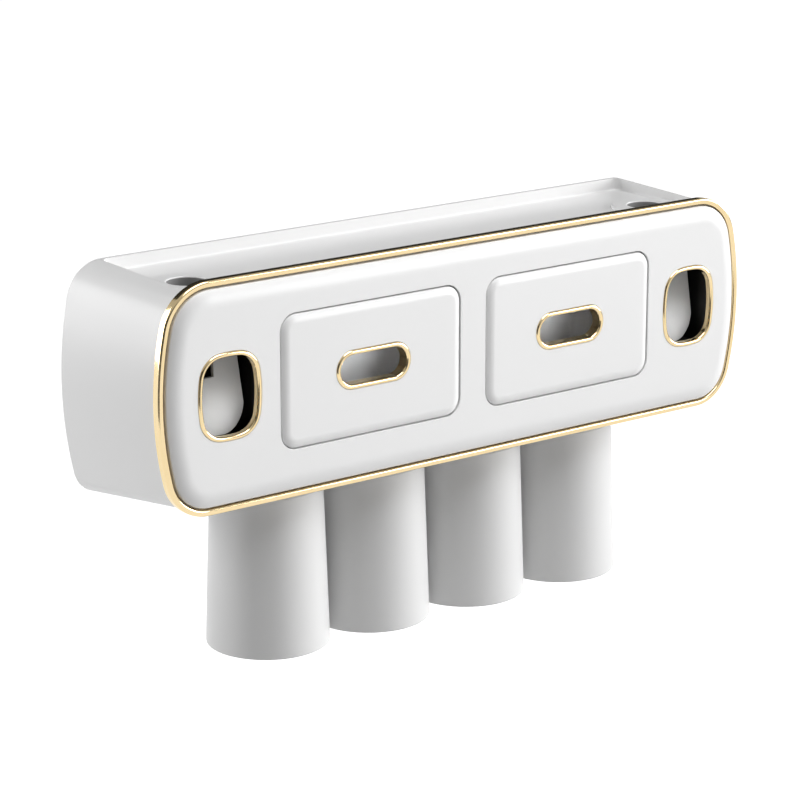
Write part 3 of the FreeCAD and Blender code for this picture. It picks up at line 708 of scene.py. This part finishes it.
def casing():
    front, back = casing_low.y, casing_high.y
    piece = loft("casing", casing_outline(front, 0, casing_high.z), front,
                 casing_outline(back, 0, casing_high.z), back)
    for x in CUP_X:
        seat = rod("seat", (x, CUP_Y, casing_low.z), (x, CUP_Y, casing_low.z + SEAT_RISE), SEAT_RADIUS,
                   sides=96)
        combine(piece, seat, 'UNION')
    cavity_front = front + FRONT_WALL
    cavity = loft("cavity", casing_outline(cavity_front, WALL, CAVITY_TOP), cavity_front,
                  casing_outline(back + OVER, WALL, CAVITY_TOP), back + OVER)
    combine(piece, cavity)
    combine(piece, tray_space())
    for word, _ in SIDES:
        for node, grow in (("drawer_sleeve_", -SLEEVE_LAP), ("lever_chamber_", CHAMBER_FIT)):
            low, high = node_box(node + word)
            hole = block("hole", (low.x - grow, front - OVER, low.z - grow),
                         (high.x + grow, cavity_front + HOLE_PAST, high.z + grow))
            combine(piece, hole)
        low, high = node_box("tube_collar_" + word)
        spot = (low + high) / 2
        hole = rod("hole", (spot.x, spot.y, TRAY_FLOOR - OVER), (spot.x, spot.y, TRAY_FLOOR + OVER),
                   NECK_RADIUS + NECK_FIT)
        combine(piece, hole)
    soften(piece, CASING_EDGE, steps=3, angle=40)
    finish_piece(piece, "housing", white_plastic, "white_plastic", "housing_shell")


def neck_ring(word):
    low, high = node_box("tube_collar_" + word)
    spot = (low + high) / 2
    outer = (high.x - low.x) / 2
    profile = [(COLLAR_HOLE, low.z), (COLLAR_HOLE, high.z), (outer, high.z), (outer, TRAY_FLOOR),
               (NECK_RADIUS, TRAY_FLOOR), (NECK_RADIUS, low.z), (COLLAR_HOLE, low.z)]
    rounds = {1: COLLAR_INNER_ROUND, 2: COLLAR_OUTER_ROUND}
    piece = lathe("neck_ring_" + word, spot.x, spot.y, profile, rounds)
    finish_piece(piece, "housing", white_plastic, "white_plastic", "tube_collar_" + word)


def neck_seal(word):
    """The soft ring under the neck, with a thin dark lip that lines the collar's white hole as painted shade.
    """
    low, high = node_box("tube_seal_" + word)
    spot = (low + high) / 2
    outer = (high.x - low.x) / 2
    # the dark rubber lip over the collar's inner wall is painted shade inside the hole
    inner = COLLAR_HOLE - SHADE_LINING
    shade_lip_top = TRAY_FLOOR + COLLAR_HEIGHT - SHADE_LINING_STEP
    profile = [(SEAL_HOLE, low.z), (SEAL_HOLE, high.z), (inner, high.z), (inner, shade_lip_top),
               (COLLAR_HOLE, shade_lip_top), (COLLAR_HOLE, high.z), (outer, high.z), (outer, low.z),
               (SEAL_HOLE, low.z)]
    piece = lathe("neck_seal_" + word, spot.x, spot.y, profile, {})
    finish_piece(piece, "housing", soft_rubber, "soft_rubber", "tube_seal_" + word)


# Drawers' boxes, seen through the slots

BOX_WALL = 1.8
BOX_EDGE = 7.5              # round of the long outer edges
BOX_CORNER = 10.0           # round of the inside's upright corners
BOX_FOOT = 3.0
BOX_LIP_EDGE = 0.3


def drawer_tray(word, side):
    low, high = node_box("drawer_box_" + word)
    piece = block("drawer_tray_" + word, low, high)
    edit(piece)
    pick("edges", lambda edge: along(edge, axis=1))
    bevel(BOX_EDGE, steps=6)
    leave_edit()
    wall = Vector((BOX_WALL, BOX_WALL, BOX_WALL))
    space = block("space", low + wall, high + Vector((-BOX_WALL, -BOX_WALL, OVER)))
    edit(space)
    pick("edges", lambda edge: along(edge, axis=2))
    bevel(BOX_CORNER, steps=10)
    pick("edges", lambda edge: all(vert.co.z < low.z + BOX_WALL + MERGE for vert in edge.verts))
    bevel(BOX_FOOT, steps=4)
    leave_edit()
    combine(piece, space)
    hole = slab("hole", slot_outline(BAND_FIT), low.y - OVER, low.y + OVER)
    combine(piece, move(hole, side * slot_spot.x, 0, slot_spot.z))
    soften(piece, BOX_LIP_EDGE, angle=40)
    finish_piece(piece, "drawer_" + word, inner_plastic, "white_plastic", "drawer_box_" + word)


# Levers in the windows

PADDLE_Y = -64.2            # front of the paddle at its middle
HOLLOW = 60.0               # radius of the paddle's hollow
PADDLE_SPREAD = 27          # degrees of the hollow to each side, trimmed later
PADDLE_THICK = 2.5
LIP = 4.5                   # how far the lower lip comes forward
LIP_HEIGHT = 8.0
LIP_BEND = 6.0
LIP_ROUND = 0.8
PADDLE_DROP = 1.8           # how far the paddle hangs below the solid's
PADDLE_TOP = 17.0
PADDLE_TRIM = 1.0           # how far the outline's tool reaches past the paddle's top
PADDLE_TOP_HALF = 18.9
PADDLE_HALF = 22.2
PADDLE_CORNER = 15.5
PADDLE_EDGE = 0.6
NOTCH_HALF = 6.6
NOTCH_BOTTOM = 4.3
HINGE_Y = -58.0
HINGE_Z = 21.5
HUB_RADIUS = 4.5
HUB_HALF = 14.0
PIN_HOLE = 2.05
ARM_INNER = 8.0
ARM_WIDTH = 3.0
FINGER_HALF = 3.0
FINGER_END = 12.0
FINGER_TOP = 25.6


def paddle_shell(bottom):
    """The hollow plate and its lip, as a wide sector about the hollow's upright axis."""
    axis_y = PADDLE_Y - HOLLOW
    back = PADDLE_Y + PADDLE_THICK
    bend = bottom + LIP_HEIGHT
    section = [(0, PADDLE_Y, PADDLE_TOP), (0, PADDLE_Y, bend), (0, PADDLE_Y - LIP, bottom),
               (0, back - LIP, bottom), (0, back, bend), (0, back, PADDLE_TOP)]
    piece = point_piece("paddle", *section[0])
    draw_closed(section)
    for number, radius in ((1, LIP_BEND), (2, LIP_ROUND), (3, LIP_ROUND), (4, LIP_BEND)):
        round_corner(section[number], radius)
    pick_all()
    bpy.ops.mesh.edge_face_add()
    spread = math.radians(PADDLE_SPREAD)
    bpy.ops.transform.rotate(value=-spread, orient_axis='Z', center_override=(0, axis_y, 0))
    turn((0, axis_y, 0), -2 * spread, steps=48, axis=Z_AXIS)
    join_doubles()
    leave_edit()
    return piece


class PaddleOutline:
    """The paddle seen from the front: wider towards the bottom, with large lower corners."""

    def __init__(self, bottom):
        self.top, self.bottom = PADDLE_TOP + PADDLE_TRIM, bottom

    def sweep(self, y, steps=20):
        inner = PADDLE_HALF - PADDLE_CORNER
        waist = self.bottom + PADDLE_CORNER
        extrude(PADDLE_TOP_HALF, 0, 0)
        extrude(PADDLE_HALF - PADDLE_TOP_HALF, 0, waist - self.top)
        turn((inner, y, waist), math.pi / 2, steps)
        extrude(-inner, 0, 0)


def lever_arm(x):
    """A rib from the top of the paddle back to the hub."""
    reach = math.sqrt(HOLLOW ** 2 - (ARM_INNER + ARM_WIDTH) ** 2)
    front = PADDLE_Y - HOLLOW + reach + PADDLE_THICK / 2
    corners = [(x, front, PADDLE_TOP - 2 * HUB_RADIUS), (x, front, PADDLE_TOP),
               (x, HINGE_Y, HINGE_Z + HUB_RADIUS), (x, HINGE_Y, HINGE_Z - HUB_RADIUS)]
    piece = point_piece("arm", *corners[0])
    draw_closed(corners)
    bpy.ops.mesh.edge_face_add()
    extrude(ARM_WIDTH, 0, 0)
    join_doubles()
    leave_edit()
    return piece


def levers():
    """One lever: paddle, hub on the pin, two arms and the finger on the pump. The other is its copy."""
    bottom = node_box("push_lever_right")[0].z - PADDLE_DROP
    ahead = PADDLE_Y - 2 * LIP
    piece = paddle_shell(bottom)
    combine(piece, slab("outline", PaddleOutline(bottom - MERGE), ahead, HINGE_Y), 'INTERSECT')
    notch = block("notch", (-NOTCH_HALF, ahead, NOTCH_BOTTOM), (NOTCH_HALF, HINGE_Y, PADDLE_TOP + OVER))
    combine(piece, notch)
    soften(piece, PADDLE_EDGE, steps=3)
    hub = rod("hub", (-HUB_HALF, HINGE_Y, HINGE_Z), (HUB_HALF, HINGE_Y, HINGE_Z), HUB_RADIUS)
    combine(piece, hub, 'UNION')
    for x in (-ARM_INNER - ARM_WIDTH, ARM_INNER):
        combine(piece, lever_arm(x), 'UNION')
    finger = block("finger", (-FINGER_HALF, HINGE_Y, HINGE_Z),
                   (FINGER_HALF, HINGE_Y + FINGER_END, FINGER_TOP))
    combine(piece, finger, 'UNION')
    bore = rod("bore", (-2 * HUB_HALF, HINGE_Y, HINGE_Z), (2 * HUB_HALF, HINGE_Y, HINGE_Z), PIN_HOLE)
    combine(piece, bore)
    piece.name = piece.data.name = "lever_paddle_right"
    move(piece, window_spot.x, 0, 0)
    twin = copy_of(piece, "lever_paddle_left", -2 * window_spot.x)
    for word, lever in (("right", piece), ("left", twin)):
        finish_piece(lever, "lever_" + word, white_plastic, "white_plastic", "push_lever_" + word)


# Soft and springy pieces that the lever presses

COIL_WIRE = 1.0
COIL_TURNS = 6
COIL_WIRE_SIDES = 12
COIL_STEPS = 24             # stretches in a turn
BULB_RADIUS = 6.4
BULB_WALL = 1.2
BULB_FLANGE_HEIGHT = 2.0
BULB_FLANGE_ROUND = 0.5


def return_coil(word):
    """A wire coil behind the paddle, which the lever presses."""
    low, high = node_box("return_spring_" + word)
    spot = (low + high) / 2
    piece = add("circle", "return_coil_" + word, vertices=COIL_WIRE_SIDES, radius=COIL_WIRE / 2,
                rotation=(math.pi / 2, 0, 0), location=((high.x - low.x - COIL_WIRE) / 2, 0, 0))
    rise = high.y - low.y - COIL_WIRE
    winding = piece.modifiers.new("winding", 'SCREW')
    winding.axis = 'Z'
    winding.steps = winding.render_steps = COIL_STEPS
    winding.iterations = COIL_TURNS
    winding.screw_offset = rise / COIL_TURNS
    apply(piece, winding)
    edit(piece)
    for z in (0, rise):
        pick("edges", lambda edge: edge.is_boundary and abs(middle(edge).z - z) < COIL_WIRE)
        bpy.ops.mesh.edge_face_add()
    join_doubles()
    leave_edit()
    piece.rotation_euler = (-math.pi / 2, 0, 0)
    set_down(piece)
    move(piece, spot.x, low.y + COIL_WIRE / 2, spot.z)
    finish_piece(piece, "housing", bright_steel, "steel", "return_spring_" + word)
    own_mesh(piece)


def pump_bulb(word):
    """The rubber bulb under the pump, which the lever's finger presses."""
    low, high = node_box("pump_bladder_" + word)
    spot = (low + high) / 2
    flange, inner = (high.x - low.x) / 2, BULB_RADIUS - BULB_WALL
    under, inside = high.z - BULB_FLANGE_HEIGHT, low.z + BULB_WALL
    profile = [(0, low.z), (inner, low.z), (BULB_RADIUS, inside), (BULB_RADIUS, under), (flange, under),
               (flange, high.z), (inner, high.z), (inner, inside), (0, inside)]
    piece = lathe("pump_bulb_" + word, spot.x, spot.y, profile, {5: BULB_FLANGE_ROUND})
    finish_piece(piece, "housing", soft_rubber, "soft_rubber", "pump_bladder_" + word)
    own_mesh(piece)


# Back: wall plate, cover and its screws

PLATE_THICK = 3.5
PLATE_CORNER = 6.0
PLATE_HOLE = 2.6
PLATE_HOLE_X = 90.0
PLATE_EDGE = 0.5
HOOK_X = 150.0
HOOK_HALF = 10.0
HOOK_BOTTOM = 6.0
HOOK_TOP = 12.0
HOOK_TIP_TOP = 20.0
HOOK_LIP = 2.6
HOOK_LAP = 1.0              # how far the tip reaches into the arm
COVER_FIT = 0.4
COVER_EDGE = 0.4
HOOK_GAP = 0.4
HOOK_REST = 0.15
SLOT_BOTTOM = -4.15
SCREW_HOLE = 1.5
SCREW_SHANK = 1.2
SHANK_LAP = 0.5             # how far the shank reaches into the head
SCREW_HEAD = 2.8
SCREW_HEAD_HEIGHT = 1.8
SCREW_HEAD_ROUND = 0.9
RECESS_LONG = 1.6           # half lengths of the cross recess
RECESS_NARROW = 0.4
RECESS_DEPTH = 1.0


def wall_bracket():
    low, high = node_box("wall_plate")
    size = high - low
    piece = slab("wall_bracket", RoundedOutline(size.x, size.z, PLATE_CORNER), -PLATE_THICK, 0)
    for _, side in SIDES:
        x = side * PLATE_HOLE_X
        combine(piece, rod("hole", (x, -OVER, 0), (x, OVER, 0), PLATE_HOLE, sides=48))
        x = side * HOOK_X
        arm = block("hook", (x - HOOK_HALF, low.y, HOOK_BOTTOM),
                    (x + HOOK_HALF, -PLATE_THICK / 2, HOOK_TOP))
        combine(piece, arm, 'UNION')
        tip = block("hook", (x - HOOK_HALF, low.y, HOOK_TOP - HOOK_LAP),
                    (x + HOOK_HALF, low.y + HOOK_LIP, HOOK_TIP_TOP))
        combine(piece, tip, 'UNION')
    soften(piece, PLATE_EDGE, angle=40)
    finish_piece(piece, "wall_plate", inner_plastic, "white_plastic", "wall_plate")


def screw_places():
    """Places of the cover's screws; the upper ones stand as far out as the front panel's screws."""
    low, high = node_box("rear_cover_screws")
    upper_x, lower_x = node_box("panel_screws")[1].x - SCREW_HEAD, high.x - SCREW_HEAD
    upper_z, lower_z = high.z - SCREW_HEAD, low.z + SCREW_HEAD
    return [(side * x, z) for x, z in ((upper_x, upper_z), (lower_x, lower_z)) for side in (-1, 0, 1)]


def back_cover():
    low, high = node_box("rear_cover")
    outline = casing_outline(low.y, WALL + COVER_FIT, CAVITY_TOP - COVER_FIT)
    piece = slab("back_cover", outline, low.y, high.y)
    for x, z in screw_places():
        combine(piece, rod("hole", (x, low.y - OVER, z), (x, high.y + OVER, z), SCREW_HOLE, sides=32))
    for _, side in SIDES:
        x = side * HOOK_X
        half = HOOK_HALF + HOOK_GAP
        slot = block("slot", (x - half, low.y - OVER, SLOT_BOTTOM),
                     (x + half, high.y + OVER, HOOK_TOP + HOOK_REST))
        combine(piece, slot)
    soften(piece, COVER_EDGE, angle=40)
    finish_piece(piece, "housing", white_plastic, "white_plastic", "rear_cover")


def cover_screws():
    """Pan-head screws with a cross recess, in one mesh."""
    low, high = node_box("rear_cover_screws")
    seat = high.y - SCREW_HEAD_HEIGHT
    screws = []
    for x, z in screw_places():
        screw = rod("screw", (x, seat, z), (x, high.y, z), SCREW_HEAD, sides=40)
        edit(screw)
        pick("edges", lambda edge: all(vert.co.y > high.y - MERGE for vert in edge.verts))
        bevel(SCREW_HEAD_ROUND, steps=4)
        leave_edit()
        shank = rod("shank", (x, low.y, z), (x, seat + SHANK_LAP, z), SCREW_SHANK, sides=24)
        combine(screw, shank, 'UNION')
        for half_x, half_z in ((RECESS_LONG, RECESS_NARROW), (RECESS_NARROW, RECESS_LONG)):
            cut = block("recess", (x - half_x, high.y - RECESS_DEPTH, z - half_z),
                        (x + half_x, high.y + RECESS_DEPTH, z + half_z))
            combine(screw, cut)
        screws.append(screw)
    bpy.ops.object.select_all(action='DESELECT')
    for screw in screws:
        screw.select_set(True)
    bpy.context.view_layer.objects.active = screws[0]
    bpy.ops.object.join()
    piece = bpy.context.object
    piece.name = piece.data.name = "cover_screws"
    finish_piece(piece, "housing", bright_steel, "steel", "rear_cover_screws")


# Cups

CUP_BASE = 30.5
CUP_WALL = 2.2
CUP_RECESS = 25.0
CUP_RECESS_DEPTH = 2.5
CUP_FLOOR = 8.5
CUP_RECESS_ROUND = 0.5
CUP_BASE_ROUND = 1.4
CUP_RIM_ROUND = 0.9
CUP_FLOOR_ROUND = 4.0
CUP_STEPS = 128


def cups():
    """One cup with its rim down and its cap in one form, and three copies."""
    low, high = node_box("cup_1")
    rim, base = low.z, high.z
    rim_radius = (high.x - low.x) / 2
    inner_floor = base - CUP_FLOOR
    taper = (rim_radius - CUP_BASE) / (base - rim)
    floor_radius = CUP_BASE + taper * CUP_FLOOR - CUP_WALL
    recess = base - CUP_RECESS_DEPTH
    profile = [(0, recess), (CUP_RECESS, recess), (CUP_RECESS, base), (CUP_BASE, base), (rim_radius, rim),
               (rim_radius - CUP_WALL, rim), (floor_radius, inner_floor), (0, inner_floor)]
    rounds = {2: CUP_RECESS_ROUND, 3: CUP_BASE_ROUND, 4: CUP_RIM_ROUND, 5: CUP_RIM_ROUND, 6: CUP_FLOOR_ROUND}
    first = lathe("rinse_cup_1", CUP_X[0], CUP_Y, profile, rounds, CUP_STEPS)
    made = [first]
    for number in range(2, CUP_COUNT + 1):
        made.append(copy_of(first, "rinse_cup_%d" % number, CUP_X[number - 1] - CUP_X[0]))
    for number, piece in enumerate(made, 1):
        finish_piece(piece, "cup_%d" % number, cup_plastic, "white_plastic", "cup_%d" % number,
                     "cup_base_cap_%d" % number)


# Making the pieces

gold_rim()
panel_face()
casing()
for word, side in SIDES:
    drawer_face(word, side)
    slot_ring(word, side)
    window_ring(word, side)
    neck_ring(word)
    neck_seal(word)
    drawer_tray(word, side)
    return_coil(word)
    pump_bulb(word)
levers()
wall_bracket()
back_cover()
cover_screws()
cups()


# Studio: places and sizes in metres

MIDDLE = (0, -0.05, -0.03)
FLOOR_SIZE = 12
FLOOR_LEVEL = -0.6
FLOOR_GREY = 0.8
FLOOR_LIFT = 0.95           # added in view, so that the floor shows white
FLOOR_MIRRORED = 1.08
DARK = 0.03                 # how bright the dark boards are
SLOT_LAMP = (28, -71, 22)   # small lamps in millimetres, with x from the middle of a drawer or window
SLOT_LAMP_AIM = (29, -21, 3)
SLOT_LAMP_SIZE = (6, 6)
WINDOW_LAMP = (8, -82, -18)
WINDOW_LAMP_AIM = (0, -62, -2)
WINDOW_LAMP_SIZE = (14, 5)

# Camera, fitted to the photo: angles in degrees, lengths in millimetres, places in the picture in pixels

CAMERA_YAW = 37.614368
CAMERA_PITCH = 15.579291
PICTURE = 800
FOCAL = 2844.967
SENSOR = 36.0
AIM = (0, -89.4, 2.7)       # a point on the front
AIM_ACROSS = 473.265        # where it lies in the picture
AIM_DOWN = 344.872
AIM_DISTANCE = 1524.052


def stage_shader(name):
    finish = bpy.data.materials.new(name)
    finish.use_nodes = True
    nodes = finish.node_tree.nodes
    nodes.clear()
    return finish, nodes, finish.node_tree.links


def emission_of(nodes, strength, kind="ShaderNodeEmission"):
    light = nodes.new(kind)
    light.inputs["Color"].default_value = (1, 1, 1, 1)
    light.inputs["Strength"].default_value = strength
    return light


def mix_by(nodes, links, factor, first, second):
    mix = nodes.new("ShaderNodeMixShader")
    links.new(factor, mix.inputs["Fac"])
    links.new(first.outputs[0], mix.inputs[1])
    links.new(second.outputs[0], mix.inputs[2])
    return mix


def indirect_view(nodes, links, path):
    """One for rays that come from a mirror or through glass, else zero."""
    either = nodes.new("ShaderNodeMath")
    either.operation = 'MAXIMUM'
    links.new(path.outputs["Is Glossy Ray"], either.inputs[0])
    links.new(path.outputs["Is Transmission Ray"], either.inputs[1])
    return either.outputs[0]


def studio_world(lit, mirrored, seen):
    """An even sky: one strength for lighting, one in reflections and white for the camera."""
    scene = bpy.context.scene
    scene.view_settings.view_transform = 'Standard'
    world = bpy.data.worlds.new("studio")
    scene.world = world
    world.use_nodes = True
    nodes, links = world.node_tree.nodes, world.node_tree.links
    nodes.clear()
    out = nodes.new("ShaderNodeOutputWorld")
    path = nodes.new("ShaderNodeLightPath")
    skies = [emission_of(nodes, strength, "ShaderNodeBackground") for strength in (lit, mirrored, seen)]
    glossy = mix_by(nodes, links, indirect_view(nodes, links, path), skies[0], skies[1])
    camera_sky = mix_by(nodes, links, path.outputs["Is Camera Ray"], glossy, skies[2])
    links.new(camera_sky.outputs[0], out.inputs["Surface"])


def floor():
    """A pale floor that takes the shadow, lifted to white in view and even in reflections."""
    bpy.ops.mesh.primitive_plane_add(size=FLOOR_SIZE, location=(0, 0, FLOOR_LEVEL))
    ground = bpy.context.object
    ground.name = "floor"
    finish, nodes, links = stage_shader("pale_floor")
    matt = nodes.new("ShaderNodeBsdfDiffuse")
    matt.inputs["Color"].default_value = (*grey(FLOOR_GREY), 1)
    path = nodes.new("ShaderNodeLightPath")
    both = nodes.new("ShaderNodeAddShader")
    links.new(matt.outputs[0], both.inputs[0])
    links.new(emission_of(nodes, FLOOR_LIFT).outputs[0], both.inputs[1])
    seen = mix_by(nodes, links, path.outputs["Is Camera Ray"], matt, both)
    mirrored = emission_of(nodes, FLOOR_MIRRORED)
    shown = mix_by(nodes, links, indirect_view(nodes, links, path), seen, mirrored)
    out = nodes.new("ShaderNodeOutputMaterial")
    links.new(shown.outputs[0], out.inputs["Surface"])
    ground.data.materials.append(finish)


def lamp(name, place, target, size, power, in_reflections=True, spread=180):
    """A soft rectangular lamp that the camera doesn't see; spread in degrees."""
    bpy.ops.object.light_add(type='AREA', location=place)
    light = bpy.context.object
    light.name = name
    light.data.shape = 'RECTANGLE'
    light.data.size, light.data.size_y = size
    light.data.energy = power
    light.data.spread = math.radians(spread)
    light.rotation_euler = (Vector(target) - Vector(place)).to_track_quat('-Z', 'Y').to_euler()
    light.visible_camera = False
    light.visible_glossy = in_reflections


def dark_board(name, place, size):
    """A dark board, turned to the object, that only shows in reflections."""
    bpy.ops.mesh.primitive_plane_add(size=1, location=place)
    board = bpy.context.object
    board.name = name
    board.scale = (*size, 1)
    board.rotation_euler = (Vector(MIDDLE) - Vector(place)).to_track_quat('Z', 'Y').to_euler()
    finish, nodes, links = stage_shader(name)
    out = nodes.new("ShaderNodeOutputMaterial")
    links.new(emission_of(nodes, DARK).outputs[0], out.inputs["Surface"])
    board.data.materials.append(finish)
    board.visible_camera = False
    board.visible_diffuse = False
    board.visible_shadow = False


def camera():
    yaw, pitch = math.radians(CAMERA_YAW), math.radians(CAMERA_PITCH)
    forward = Vector((math.sin(yaw) * math.cos(pitch), math.cos(yaw) * math.cos(pitch), -math.sin(pitch)))
    right = Vector((math.cos(yaw), -math.sin(yaw), 0))
    up = right.cross(forward)
    across = (AIM_ACROSS - PICTURE / 2) / FOCAL * AIM_DISTANCE
    down = (AIM_DOWN - PICTURE / 2) / FOCAL * AIM_DISTANCE
    place = Vector(AIM) - (across * right - down * up + AIM_DISTANCE * forward)
    data = bpy.data.cameras.new("camera")
    data.sensor_width = SENSOR
    data.lens = FOCAL / PICTURE * SENSOR
    eye = bpy.data.objects.new("camera", data)
    bpy.context.scene.collection.objects.link(eye)
    facing = Matrix((right, up, -forward)).transposed().to_4x4()
    eye.matrix_world = Matrix.Translation(place * MM) @ facing
    bpy.context.scene.camera = eye


def around(turned, raised, distance):
    """A place round the object: degrees to the right of its front, degrees up and metres away."""
    side, up = math.radians(turned), math.radians(raised)
    flat = distance * math.cos(up)
    x, y, z = MIDDLE
    return (x + flat * math.sin(side), y - flat * math.cos(side), z + distance * math.sin(up))


def small_lamp(name, x, place, aim, size, power, spread):
    """A small lamp inside an opening, its place and aim in millimetres and counted from x."""
    beside = Vector((x, 0, 0))
    lamp(name, (Vector(place) + beside) * MM, (Vector(aim) + beside) * MM, Vector(size) * MM, power,
         in_reflections=False, spread=spread)


studio_world(lit=0.032, mirrored=0.5, seen=1.0)
floor()
lamp("key_right", around(turned=45, raised=12, distance=6.0), MIDDLE, size=(2.4, 2.4), power=140)
lamp("side_right", around(turned=70, raised=12, distance=6.0), MIDDLE, size=(2.4, 2.4), power=212)
lamp("side_left", around(turned=-125, raised=15, distance=1.5), MIDDLE, size=(1.0, 1.0), power=15)
lamp("top_front", around(turned=10, raised=62, distance=1.5), MIDDLE, size=(1.0, 1.0), power=15)
dark_board("dark_front", place=(-0.75, -1.75, 0.1), size=(1.3, 1.6))
dark_board("dark_left", place=(-1.75, -0.75, 0.1), size=(1.3, 1.6))
dark_board("dark_behind", place=(0.6, 1.5, 0.95), size=(2.4, 1.3))
for word, side in SIDES:
    small_lamp("slot_fill_" + word, side * drawer_spot.x, SLOT_LAMP, SLOT_LAMP_AIM, SLOT_LAMP_SIZE,
               power=0.0065, spread=60)
    small_lamp("window_fill_" + word, side * window_spot.x, WINDOW_LAMP, WINDOW_LAMP_AIM, WINDOW_LAMP_SIZE,
               power=0.002, spread=150)
camera()
